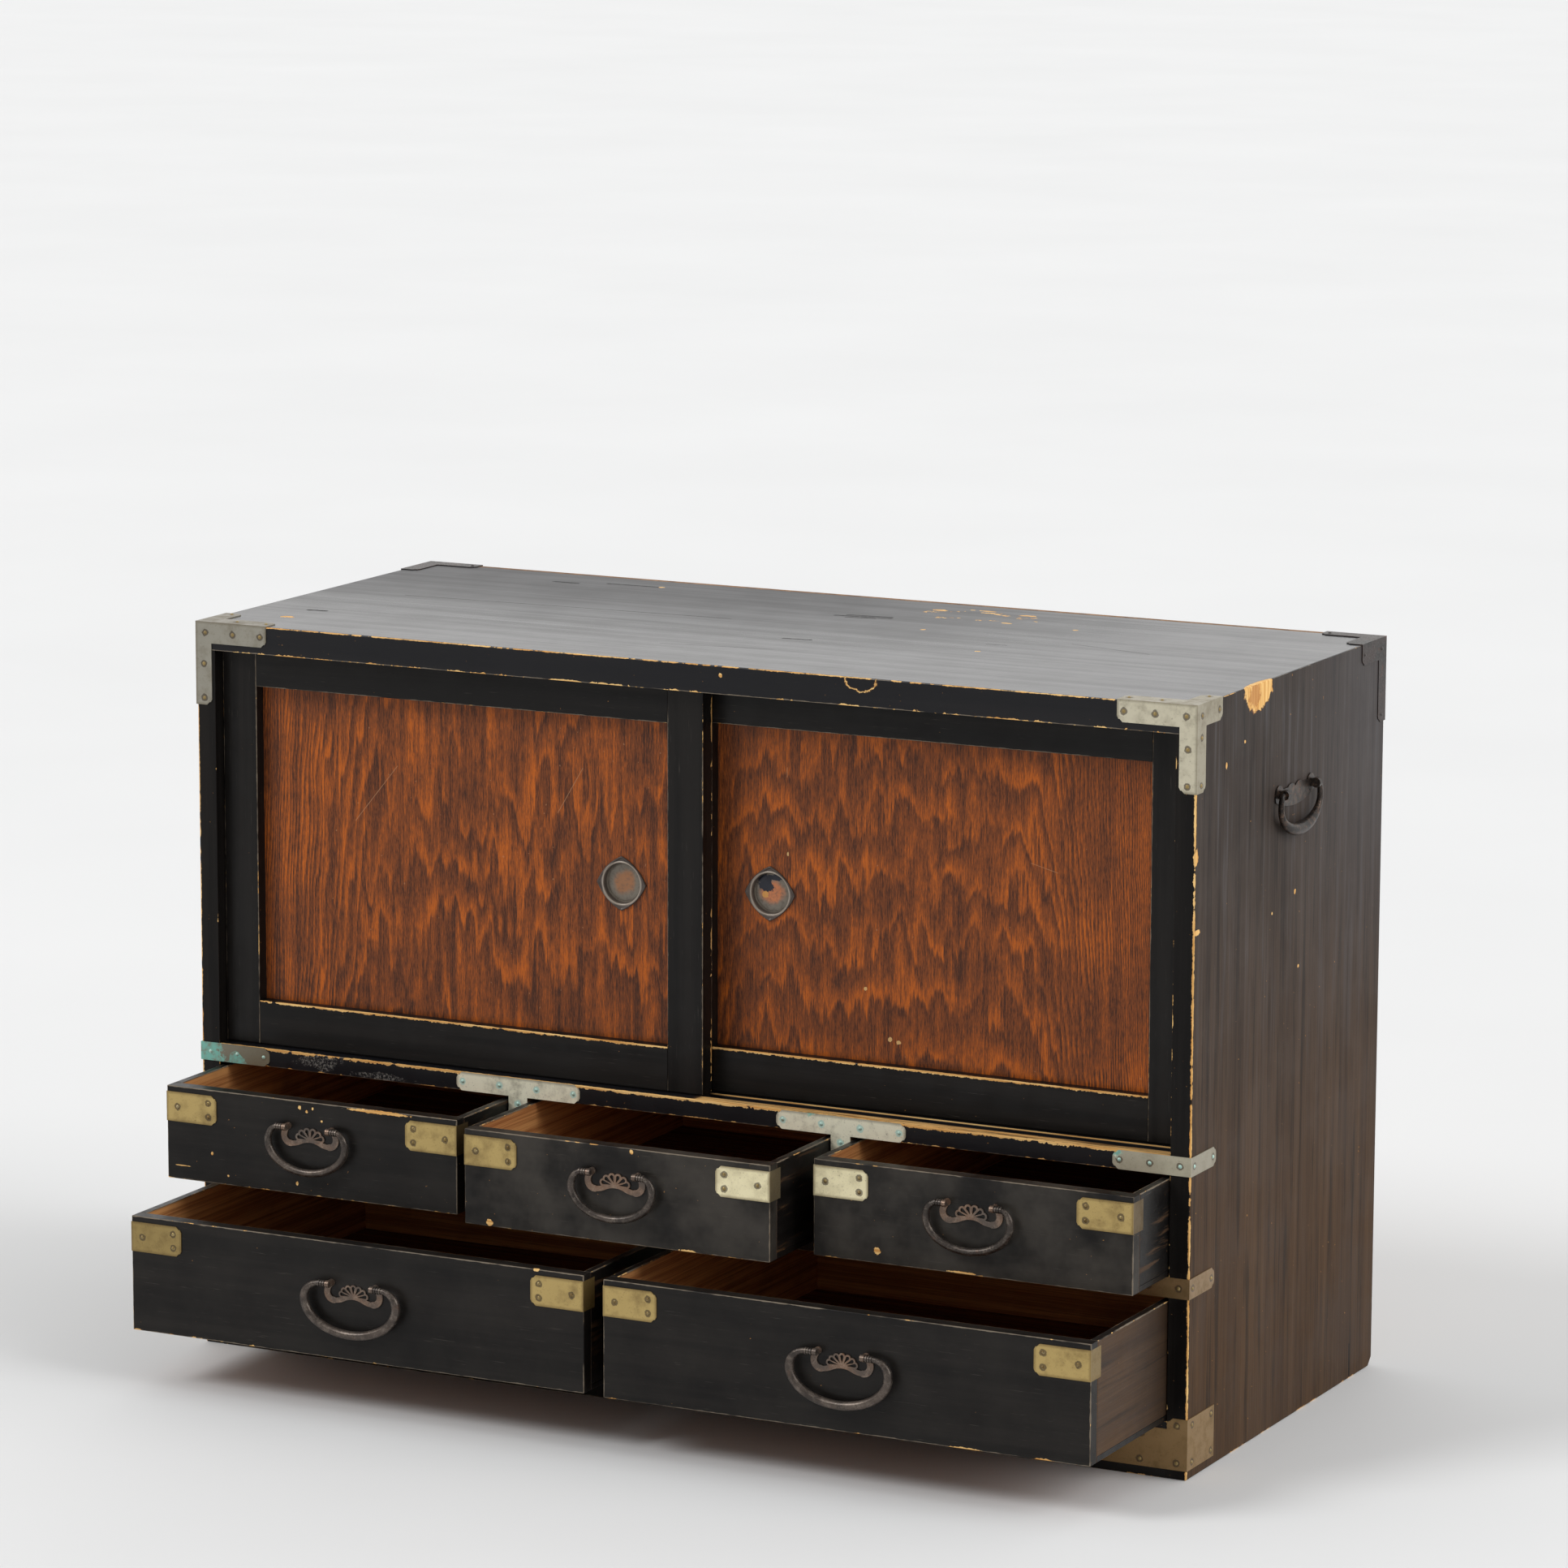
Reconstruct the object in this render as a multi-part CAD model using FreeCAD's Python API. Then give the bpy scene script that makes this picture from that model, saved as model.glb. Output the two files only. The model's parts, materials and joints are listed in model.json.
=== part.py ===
import FreeCAD, Part
import math
import os

# A low lacquered chest: two sliding doors over a row of three and a row of two drawers.
# Millimetres, +Z up, the front faces -Y, and the origin is on the floor under the middle of the case.
# The drawers stand partly open at rest, each by its own amount.

Vector = FreeCAD.Vector
X, Y, Z = Vector(1, 0, 0), Vector(0, 1, 0), Vector(0, 0, 1)

# Case boards
case_width = 940.0
case_depth = 405.0
case_height = 642.0
side_thickness = 18.0
top_thickness = 24.0
back_thickness = 8.0
back_rabbet_width = 9.0
case_rounding = 1.5
arris_rounding = 0.7
worn_corner = 9.0
finger_count = 5
back_board_count = 4
back_board_gap = 0.8
overrun = 5.0

# Rails and shelves, named from the floor up
bottom_rail_height = 48.0
bottom_rail_thickness = 18.0
bottom_board_thickness = 9.0
batten_width = 30.0
back_rail_thickness = 18.0
lower_bay_height = 104.5
middle_rail_height = 17.0
middle_rail_depth = 40.0
dust_board_thickness = 9.0
upper_bay_height = 85.5
sill_height = 16.0
sill_depth = 56.0
cupboard_floor_thickness = 9.0
divider_thickness = 18.0
upper_bay_count = 3
lower_bay_count = 2

# Door tracks, cut in the sill and in the top board
track_setback = 14.0
track_width = 13.0
track_spacing = 19.0
lower_track_depth = 3.0
upper_track_depth = 9.0

# Sliding doors
door_thickness = 17.0
door_overlap = 35.0
door_side_gap = 0.5
door_floor_gap = 1.2
door_head_gap = 1.5
tongue_side_gap = 0.5
tongue_floor_gap = 0.3
upper_tongue_height = 5.0
stile_width = 33.5
door_bottom_rail_width = 38.0
door_top_rail_width = 29.0
panel_thickness = 5.5
panel_rabbet = 6.0
panel_gap = 0.2

# Door pulls: a shallow cup in a rim of four arcs that meet in points
pull_from_middle = 65.5
pull_rim_half_width = 23.5
pull_rim_half_height = 24.0
pull_rim_bulge = 19.8
pull_rim_thickness = 1.0
pull_lip_width = 1.4
pull_lip_height = 0.7
pull_cup_radius = 18.0
pull_metal = 0.8
pull_hole_gap = 0.2

# Drawers
drawer_length = 386.0
drawer_front_thickness = 13.0
drawer_side_thickness = 7.0
drawer_back_thickness = 7.0
drawer_bottom_thickness = 5.0
drawer_side_gap = 1.0
drawer_floor_gap = 0.3
drawer_head_gap = 3.7
upper_pulled = {"a": 88.0, "b": 110.0, "c": 70.0}
lower_pulled = {"d": 147.0, "e": 150.0}

# Sheet metal on the case
sheet_thickness = 0.8
notch = 5.0
notch_shares = [(1.0, 0.0), (0.5, 0.5), (0.28, 0.5), (0.0, 1.0)]
top_plate_reach = 70.0
top_plate_fall = 72.0
top_plate_depth = 50.0
top_plate_height = 18.0
top_plate_front_width = 15.0
top_plate_side_width = 17.0
top_plate_lap = 20.0
back_plate_reach = 54.0
back_plate_fall = 72.0
back_plate_width = 16.0
low_plate_lift = 8.0
low_plate_reach = 80.0
low_plate_height = 34.0
low_plate_post_height = 43.5
low_plate_post_width = 17.5
low_plate_depth = 54.0
strap_reach = 69.0
strap_depth = 50.0
t_strap_length = 120.0
t_strap_leg = 40.0

# Corner plates on the drawers
drawer_plate_length = 50.0
drawer_plate_height = 26.0
drawer_plate_below_top = 5.0
drawer_plate_return = 19.0
drawer_nail_shares = [(0.22, 0.5), (0.84, 0.27), (0.84, 0.73)]

# Dome-headed nails
nail_radius = 1.7
nail_height = 0.9
nail_inset = 6.0
corner_nail_inset = 9.0
post_nail_drop = 27.0

# Drawer handles: bails of two sizes, measured to the middle of the rod
upper_bail_width = 76.0
upper_bail_drop = 38.0
upper_bail_below_top = 22.5
upper_rod_radius = 3.25
upper_petals = 6
lower_bail_width = 89.5
lower_bail_drop = 42.0
lower_bail_below_top = 35.0
lower_rod_radius = 3.8
lower_petals = 7

# The plate behind each drawer bail, and what holds the bail on it
handle_plate_thickness = 1.2
post_offset = 21.6
post_width = 3.6
eye_radius = 3.0
pin_radius = 1.4
standoff = 7.0
rod_end_radius = 2.3
arm_width = 4.4
upright_offset = 25.6
upright_width = 5.6
arm_bend = 6.6
arm_fall = 14.8
arm_middle_fall = 10.4
fan_half_width = 14.7
fan_height = 10.8
fan_fall = 10.6

# Side handles: the bail swells towards its middle
side_bail_width = 84.5
side_bail_drop = 33.0
side_bail_below_top = 99.5
side_bail_setback = 206.0
side_rod_radius = 5.3
side_shoulder_radius = 2.5
side_rod_end_radius = 2.1
side_post_offset = 34.0
side_post_width = 4.5
side_eye_radius = 4.2
side_pin_radius = 1.5
side_standoff = 6.2
side_lobe_radius = 8.5
side_lobe_lift = 1.0
side_hump_radius = 12.0
side_hump_offset = 8.5
side_hump_top = 5.6
side_plate_top = 3.2
side_plate_fall = 13.5
side_plate_bow = 5.0

# What all handles share
pin_gap = 0.06
rod_gap = 0.4
collar_radius = 2.9
collar_width = 1.5
collar_pitch = 2.3
collar_start = 0.5
collar_count = 3
neck_share = 0.8
shoulder_run_share = 0.7
shoulder_drop_share = 0.33
petal_overlap_share = 1.12
petal_hole_share = 0.5
petal_hole_start_share = 0.34
straight_shares = [0.0, 0.5]
shoulder_steps = 4
belly_steps = 6

# Places that follow from the sizes above
front = -case_depth / 2
back = case_depth / 2
half_width = case_width / 2
inner_half = half_width - side_thickness
back_inner = back - back_thickness
top_under = case_height - top_thickness
lower_bay_top = bottom_rail_height + lower_bay_height
middle_rail_top = lower_bay_top + middle_rail_height
sill_bottom = middle_rail_top + upper_bay_height
sill_top = sill_bottom + sill_height
pull_height = (sill_top + top_under) / 2
side_bail_height = case_height - side_bail_below_top
front_track = front + track_setback + track_width / 2
rear_track = front_track + track_spacing


# Shapes that many pieces share

def box(x, y, z):
    """A block between the two ends given along each axis."""
    return Part.makeBox(x[1] - x[0], y[1] - y[0], z[1] - z[0], Vector(x[0], y[0], z[0]))


def board(x, y, z):
    """A block with its arrises slightly rounded."""
    block = box(x, y, z)
    thinnest = min(x[1] - x[0], y[1] - y[0], z[1] - z[0])
    return block.makeFillet(min(arris_rounding, thinnest / 4), block.Edges)


def mirrored(shape):
    """The same shape on the other side of the case."""
    return shape.mirror(Vector(), X)


def group(solids):
    """Separate solids that share one node."""
    return Part.makeCompound(solids)


def fused(shapes):
    """One solid made of shapes that overlap or touch."""
    return shapes[0].multiFuse(shapes[1:]).removeSplitter()


class Surface:
    """A flat surface with its own corner, two directions along it and its outward normal."""

    def __init__(self, corner, along, across, normal):
        self.corner, self.along, self.across, self.normal = corner, along, across, normal

    def point(self, a, b, lift=0.0):
        return self.corner + self.along * a + self.across * b + self.normal * lift

    def sheet(self, outline, thickness):
        """A flat sheet on the surface, from an outline of (along, across) points."""
        points = [self.point(a, b) for a, b in outline]
        face = Part.Face(Part.makePolygon(points + points[:1]))
        return face.extrude(self.normal * thickness)

    def nail(self, a, b):
        """A domed nail head on a sheet that lies on the surface."""
        ball = (nail_radius ** 2 + nail_height ** 2) / (2 * nail_height)
        lowest = math.degrees(math.asin((ball - nail_height) / ball))
        centre = self.point(a, b, sheet_thickness + nail_height - ball)
        return Part.makeSphere(ball, centre, self.normal, lowest, 90)


def notched(a, b, size, turn_a, turn_b, along_first):
    """The stepped cut of a corner at (a, b); turn_a and turn_b point from the corner into the sheet."""
    cut = [(a + turn_a * size * share_a, b + turn_b * size * share_b) for share_a, share_b in notch_shares]
    return cut if along_first else cut[::-1]


def strip_outline(start, end, height):
    """A strip whose two far corners are notched."""
    size = min(notch, height / 3)
    return [(start, 0.0)] + notched(end, 0.0, size, -1, 1, True) \
        + notched(end, height, size, -1, -1, False) + [(start, height)]


def bar_outline(start, end, height):
    """A strip whose four corners are notched."""
    size = min(notch, height / 3)
    return notched(start, 0.0, size, 1, 1, False) + notched(end, 0.0, size, -1, 1, True) \
        + notched(end, height, size, -1, -1, False) + notched(start, height, size, 1, -1, True)


def angle_outline(start, reach, reach_width, fall, fall_width):
    """An L with one leg along and one across; the inner corner of each end is notched."""
    size = min(notch, reach_width / 3, fall_width / 3)
    return [(start, start), (reach, start)] \
        + notched(reach, reach_width, size, -1, -1, False) + [(fall_width, reach_width)] \
        + notched(fall_width, fall, size, -1, -1, False) + [(start, fall)]


# Case boards

def envelope():
    """The whole case as one block with rounded outer edges."""
    block = box((-half_width, half_width), (front, back), (0.0, case_height))
    return block.makeFillet(case_rounding, block.Edges)


def finger_box(number, sign):
    """The space of one finger of the joint between the top board and a side board."""
    pitch = (back_inner - front) / finger_count
    x = sorted((sign * inner_half, sign * (half_width + overrun)))
    y0 = front + number * pitch - (overrun if number == 0 else 0.0)
    y1 = front + (number + 1) * pitch
    return box(x, (y0, y1), (top_under, case_height + overrun))


def track_cuts(z):
    """The two grooves that the doors run in."""
    half = track_width / 2
    return [box((-inner_half, inner_half), (middle - half, middle + half), z)
            for middle in (front_track, rear_track)]


def top_board():
    """The top board, with its finger joints and the two upper door tracks."""
    body = box((-half_width, half_width), (front, back_inner), (top_under, case_height))
    cuts = [finger_box(number, sign) for number in range(1, finger_count, 2) for sign in (-1, 1)]
    cuts += track_cuts((top_under - overrun, top_under + upper_track_depth))
    return body.cut(cuts).common(envelope())


def side_board():
    """The right side board: finger joints at the top, a rabbet for the back, one worn lower corner."""
    body = box((inner_half, half_width), (front, back), (0.0, case_height))
    cuts = [finger_box(number, 1) for number in range(0, finger_count, 2)]
    cuts.append(box((inner_half - overrun, inner_half + back_rabbet_width), (back_inner, back + overrun),
                    (-overrun, case_height + overrun)))
    worn = Part.makePolygon([Vector(0.0, back - worn_corner, 0.0), Vector(0.0, back, 0.0),
                             Vector(0.0, back, worn_corner), Vector(0.0, back - worn_corner, 0.0)])
    cuts.append(Part.Face(worn).extrude(X * (half_width + overrun)))
    return body.cut(cuts).common(envelope())


def back_boards():
    """Upright boards that close the back, set in the rabbets of the sides."""
    reach = inner_half + back_rabbet_width
    pitch = 2 * reach / back_board_count
    boards = []
    for number in range(back_board_count):
        x0 = -reach + number * pitch + (back_board_gap / 2 if number > 0 else 0.0)
        x1 = -reach + (number + 1) * pitch - (back_board_gap / 2 if number < back_board_count - 1 else 0.0)
        boards.append(box((x0, x1), (back_inner, back), (0.0, case_height)).common(envelope()))
    return group(boards)


def crossing(y, z):
    """A board that runs from side to side."""
    return board((-inner_half, inner_half), y, z)


def sill():
    """The rail between doors and drawers, with the two lower door tracks."""
    body = crossing((front, front + sill_depth), (sill_bottom, sill_top))
    return body.cut(track_cuts((sill_top - lower_track_depth, sill_top + overrun)))


def base_battens():
    """The middle batten and the rear rail under the bottom board."""
    top = bottom_rail_height - bottom_board_thickness
    rear = back_inner - back_rail_thickness
    middle = board((-batten_width / 2, batten_width / 2), (front + bottom_rail_thickness, rear), (0.0, top))
    return group([middle, crossing((rear, back_inner), (0.0, top))])


def bays(count):
    """The left and right ends of equal bays between dividers."""
    width = (2 * inner_half - (count - 1) * divider_thickness) / count
    starts = [-inner_half + number * (width + divider_thickness) for number in range(count)]
    return [(start, start + width) for start in starts]


def dividers(count, floor, rail_bottom, rail_depth, ceiling):
    """The upright boards between the bays of one row, notched under the rail above them."""
    rail = box((-inner_half, inner_half), (front - overrun, front + rail_depth),
               (rail_bottom, ceiling + overrun))
    ends = [bay[1] for bay in bays(count)[:-1]]
    return group([board((end, end + divider_thickness), (front, back_inner), (floor, ceiling)).cut(rail)
                  for end in ends])


# Sheet metal on the case

def case_surface(y, z, along, across, normal):
    """A surface that starts at the right-hand side of the case."""
    return Surface(Vector(half_width, y, z), along, across, normal)


def nail_row(surface, first, last, middle, count):
    """Nails in a row along the surface, on the line at middle."""
    step = (last - first) / (count - 1)
    return [surface.nail(first + number * step, middle) for number in range(count)]


def nail_column(surface, middle, first, last, count):
    """Nails in a row across the surface, on the line at middle."""
    step = (last - first) / (count - 1)
    return [surface.nail(middle, first + number * step) for number in range(count)]


def folded(surfaces_and_outlines):
    """One plate bent over an edge or a corner of the case."""
    return fused([surface.sheet(outline, sheet_thickness) for surface, outline in surfaces_and_outlines])


def top_plate():
    """The right upper front corner plate, folded over three faces, and its nails."""
    face = case_surface(front, case_height, -X, -Z, -Y)
    side = case_surface(front, case_height, Y, -Z, X)
    lid = case_surface(front, case_height, -X, Y, Z)
    start, height, fall = -sheet_thickness, top_plate_height, top_plate_fall
    reach, depth, lap = top_plate_reach, top_plate_depth, top_plate_lap
    front_width, side_width = top_plate_front_width, top_plate_side_width
    plate = folded([(face, angle_outline(start, reach, height, fall, front_width)),
                    (side, angle_outline(start, depth, height, fall, side_width)),
                    (lid, angle_outline(start, reach, lap, depth, side_width))])
    nails = nail_row(face, corner_nail_inset, reach - nail_inset, height / 2, 3)
    nails += nail_column(face, front_width / 2, fall / 2, fall - nail_inset, 2)
    nails += nail_row(side, corner_nail_inset, depth - nail_inset, height / 2, 2)
    nails += nail_column(side, side_width / 2, post_nail_drop, fall - nail_inset, 2)
    nails += nail_row(lid, reach / 2, reach - nail_inset, lap / 2, 2)
    nails.append(lid.nail(side_width / 2, depth - nail_inset))
    return plate, nails


def back_plate():
    """The right upper rear corner plate, folded over three faces, and its nails."""
    rear = case_surface(back, case_height, -X, -Z, Y)
    side = case_surface(back, case_height, -Y, -Z, X)
    lid = case_surface(back, case_height, -X, -Y, Z)
    start, height, fall = -sheet_thickness, top_plate_height, back_plate_fall
    reach, width = back_plate_reach, back_plate_width
    upright = angle_outline(start, reach, height, fall, width)
    flat = angle_outline(start, reach, width, reach, width)
    nails = []
    for surface in (rear, side):
        nails += nail_row(surface, corner_nail_inset, reach - nail_inset, height / 2, 2)
        nails.append(surface.nail(width / 2, fall - nail_inset))
    nails.append(lid.nail(reach - nail_inset, width / 2))
    return folded([(rear, upright), (side, upright), (lid, flat)]), nails


def low_plate():
    """The right lower front corner plate, folded over two faces, and its nails."""
    face = case_surface(front, low_plate_lift, -X, Z, -Y)
    side = case_surface(front, low_plate_lift, Y, Z, X)
    start, reach, height = -sheet_thickness, low_plate_reach, low_plate_height
    post, top, depth = low_plate_post_width, low_plate_post_height, low_plate_depth
    front_outline = [(start, 0.0), (reach, 0.0), (reach, height), (post, height)]
    front_outline += notched(post, top, notch, -1, -1, False) + [(start, top)]
    side_outline = [(start, 0.0), (depth, 0.0), (depth, top), (start, top)]
    plate = folded([(face, front_outline), (side, side_outline)])
    nails = [face.nail(post / 2, top - nail_inset)]
    nails += nail_row(face, post / 2, reach - nail_inset, nail_inset, 3)
    nails += nail_row(face, reach / 2, reach - nail_inset, height - nail_inset, 2)
    for nail_line in (nail_inset, top - nail_inset):
        nails += nail_row(side, corner_nail_inset, depth - nail_inset, nail_line, 2)
    return plate, nails


def end_strap(z, height):
    """A strap on the right end of a rail, folded round to the side of the case, and its nails."""
    face = case_surface(front, z, -X, Z, -Y)
    side = case_surface(front, z, Y, Z, X)
    strap = folded([(face, strip_outline(-sheet_thickness, strap_reach, height)),
                    (side, strip_outline(-sheet_thickness, strap_depth, height))])
    nails = nail_row(face, corner_nail_inset, strap_reach - nail_inset, height / 2, 3)
    nails += nail_row(side, nail_inset, strap_depth - nail_inset, height / 2, 2)
    return strap, nails


def t_strap(middle, z, height):
    """A T-shaped strap where a divider meets the rail above it, and its nails."""
    face = Surface(Vector(middle, front, z), X, Z, -Y)
    half = t_strap_length / 2
    leg = Surface(Vector(middle - divider_thickness / 2, front, z), -Z, X, -Y)
    bar = face.sheet(bar_outline(-half, half, height), sheet_thickness)
    stem = leg.sheet(strip_outline(-height / 2, t_strap_leg, divider_thickness), sheet_thickness)
    strap = fused([bar, stem])
    nails = nail_row(face, nail_inset - half, half - nail_inset, height / 2, 4)
    nails += nail_row(leg, nail_inset, t_strap_leg - nail_inset, divider_thickness / 2, 2)
    return strap, nails


def both_sides(plate, nails):
    """A plate and its nails on the right, and the same on the left."""
    return [plate, mirrored(plate)], nails + [mirrored(nail) for nail in nails]


def divider_middles(count):
    """The middle of each divider's front edge."""
    return [bay[1] + divider_thickness / 2 for bay in bays(count)[:-1]]


# Bail handles

class Handle:
    """The sizes of one kind of handle: its bail and the posts that hold it."""

    def __init__(self, width, drop, rod, shoulder, rod_end, collars, offset, post, eye, pin, lift):
        self.width, self.drop = width, drop
        self.rod, self.shoulder, self.rod_end, self.collars = rod, shoulder, rod_end, collars
        self.offset, self.post, self.eye, self.pin, self.lift = offset, post, eye, pin, lift

    def rod_start(self):
        """Where the rod begins, just outside its post."""
        return self.offset + self.post / 2 + rod_gap


def drawer_handle(width, drop, rod_radius):
    """A drawer's handle; all drawers have the same plate and posts."""
    return Handle(width, drop, rod_radius, rod_radius, rod_end_radius, collar_count,
                  post_offset, post_width, eye_radius, pin_radius, standoff)


def rod_section(point, heading, radius):
    """A round section square to the rod; the rod lies in the XZ plane."""
    ring = Part.Wire(Part.makeCircle(radius))
    side = heading.cross(Y)
    ring.Placement = FreeCAD.Placement(FreeCAD.Matrix(
        Y.x, side.x, heading.x, point.x,
        Y.y, side.y, heading.y, point.y,
        Y.z, side.z, heading.z, point.z,
        0, 0, 0, 1))
    return ring


def rod_stations(handle):
    """Point, heading and radius along the right half of the bail, from its post to its belly."""
    half = handle.width / 2
    start = handle.rod_start()
    run = (half - start) * shoulder_run_share
    fall = handle.drop * shoulder_drop_share
    straight_end = half - run
    stations = [(Vector(start + (straight_end - start) * share, 0.0, 0.0), Vector(X), handle.rod_end)
                for share in straight_shares]
    for step in range(shoulder_steps + 1):
        angle = math.pi / 2 * step / shoulder_steps
        point = Vector(straight_end + run * math.sin(angle), 0.0, fall * (math.cos(angle) - 1))
        heading = Vector(run * math.cos(angle), 0.0, -fall * math.sin(angle)).normalize()
        swell = math.sin(angle) ** 2
        stations.append((point, heading, handle.rod_end + (handle.shoulder - handle.rod_end) * swell))
    depth = handle.drop - fall
    for step in range(1, belly_steps + 1):
        angle = math.pi / 2 * step / belly_steps
        point = Vector(half * math.cos(angle), 0.0, -fall - depth * math.sin(angle))
        heading = Vector(-half * math.sin(angle), 0.0, -depth * math.cos(angle)).normalize()
        swell = math.sin(angle) ** 2
        stations.append((point, heading, handle.shoulder + (handle.rod - handle.shoulder) * swell))
    return stations


def bail(handle):
    """A hanging bail about an X axis through the origin: rod, collars and two pins."""
    right = rod_stations(handle)
    left = [(Vector(-point.x, point.y, point.z), Vector(heading.x, heading.y, -heading.z), radius)
            for point, heading, radius in right[-2::-1]]
    pieces = [Part.makeLoft([rod_section(*station) for station in right + left], True)]
    for sign in (-1, 1):
        outward = X * sign
        pin_start = outward * (handle.offset - handle.post / 2)
        pin_length = handle.post + rod_gap + handle.pin
        pieces.append(Part.makeCylinder(handle.pin, pin_length, pin_start, outward))
        for number in range(handle.collars):
            along = handle.rod_start() + collar_start + number * collar_pitch
            pieces.append(Part.makeCylinder(collar_radius, collar_width, outward * along, outward))
    return fused(pieces)


def slab(wire, thickness):
    """A flat piece in front of the XZ plane, from a closed outline in that plane."""
    return Part.Face(wire).extrude(-Y * thickness)


def disc(x, z, radius, thickness):
    """A round flat piece in front of the XZ plane."""
    return Part.makeCylinder(radius, thickness, Vector(x, 0.0, z), -Y)


def on_plane(x, z):
    """A point of the XZ plane."""
    return Vector(x, 0.0, z)


def upright_curves():
    """The middle line of the right end of a drawer handle's plate: from the post out, down and in."""
    run, rise = upright_offset - post_offset, arm_fall - arm_bend
    radius = (run ** 2 + rise ** 2) / (2 * run)
    half_sweep = math.asin(rise / radius) / 2
    outer = on_plane(upright_offset, -rise)
    inset, lift = radius * (1 - math.cos(half_sweep)), radius * math.sin(half_sweep)
    halfway = on_plane(upright_offset - inset, lift - rise)
    diagonal = math.sqrt(0.5) * arm_bend
    corner_x = upright_offset - arm_bend
    lowest = on_plane(corner_x, -arm_fall)
    return [Part.Arc(on_plane(post_offset, 0.0), halfway, outer),
            Part.Arc(outer, on_plane(corner_x + diagonal, -rise - diagonal), lowest)]


def arm_curves():
    """The middle line from the lowest point of the right end up to the middle of the plate."""
    run, rise = upright_offset - arm_bend, arm_fall - arm_middle_fall
    radius = (run ** 2 + rise ** 2) / (4 * rise)
    half_sweep = math.asin(run / 2 / radius) / 2
    dip = radius * (1 - math.cos(half_sweep))
    ease = radius * math.sin(half_sweep)
    halfway = on_plane(run / 2, rise / 2 - arm_fall)
    return [Part.Arc(on_plane(run, -arm_fall), on_plane(run - ease, dip - arm_fall), halfway),
            Part.Arc(halfway, on_plane(ease, -arm_middle_fall - dip), on_plane(0.0, -arm_middle_fall))]


def band(curves, width):
    """A flat band with round ends that follows the curves."""
    line = Part.Wire([curve.toShape() for curve in curves])
    return slab(line.makeOffset2D(width / 2, 0, False, False), handle_plate_thickness)


def arms():
    """The two arms of a drawer handle's plate, from post to post."""
    half = [band(upright_curves() + arm_curves(), arm_width), band(upright_curves(), upright_width),
            disc(post_offset, 0.0, eye_radius, handle_plate_thickness)]
    return half + [mirrored(piece) for piece in half]


def fan(petals):
    """A half flower of round-ended petals, wider than tall, and the holes that pierce them."""
    spread = math.sin(math.pi / 2 / petals)
    reach = fan_half_width / (1 + spread * petal_overlap_share)
    petal = fan_half_width - reach
    rise = fan_height - petal
    base = on_plane(0.0, -fan_fall)
    through = handle_plate_thickness + 2 * overrun
    angles = [math.pi * (number + 0.5) / petals for number in range(petals)]
    centres = [base + on_plane(reach * math.cos(angle), rise * math.sin(angle)) for angle in angles]
    corners = [base + X * reach] + centres + [base - X * reach]
    solids = [slab(Part.makePolygon(corners + corners[:1]), handle_plate_thickness)]
    holes = []
    for centre in centres:
        way = centre - base
        across = Vector(-way.z, 0.0, way.x).normalize() * (petal * petal_hole_share)
        inner = base + way * petal_hole_start_share + Y * overrun
        outer = centre + Y * overrun
        solids.append(disc(centre.x, centre.z, petal, handle_plate_thickness))
        wedge = Part.makePolygon([inner, outer + across, outer - across, inner])
        holes.append(Part.Face(wedge).extrude(-Y * through))
        holes.append(Part.makeCylinder(petal * petal_hole_share, through, outer, -Y))
    return solids, holes


def eyes(handle):
    """The two posts that hold the bail's pins, and the holes through them."""
    neck = handle.eye * neck_share
    solids, holes = [], []
    for sign in (-1, 1):
        start = sign * handle.offset - handle.post / 2
        solids.append(Part.makeCylinder(handle.eye, handle.post, Vector(start, -handle.lift, 0.0), X))
        solids.append(box((start, start + handle.post), (-handle.lift, 0.0), (-neck, neck)))
        holes.append(Part.makeCylinder(handle.pin + pin_gap, handle.post + 2 * overrun,
                                       Vector(start - overrun, -handle.lift, 0.0), X))
    return solids, holes


def drawer_handle_plate(handle, petals):
    """A drawer handle's plate: arms, pierced fan and posts, with the bail's axis at z 0."""
    flower, pierced = fan(petals)
    posts, bores = eyes(handle)
    return fused(arms() + flower + posts).cut(pierced + bores)


def side_handle_plate(handle):
    """A side handle's plate: two humps that meet in a cusp, and a round lobe behind each post."""
    posts, bores = eyes(handle)
    hump_middle = side_hump_top - side_hump_radius
    bow_radius = (handle.offset ** 2 + side_plate_bow ** 2) / (2 * side_plate_bow)
    flat = []
    for sign in (-1, 1):
        ends = sorted((sign * side_hump_offset, sign * handle.offset))
        flat.append(box(ends, (-handle_plate_thickness, 0.0), (-side_plate_fall, side_plate_top)))
        flat.append(disc(sign * side_hump_offset, hump_middle, side_hump_radius, handle_plate_thickness))
        flat.append(disc(sign * handle.offset, -side_lobe_lift, side_lobe_radius, handle_plate_thickness))
    bow = disc(0.0, bow_radius - side_plate_fall, bow_radius, handle_plate_thickness)
    return fused([fused(flat).common(bow)] + posts).cut(bores)


def hung_on_side(shape, lift):
    """A handle piece moved from the origin to the right side of the case."""
    turned = shape.rotated(Vector(), Z, 90)
    return turned.translated(Vector(half_width + lift, front + side_bail_setback, side_bail_height))


# Doors

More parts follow.
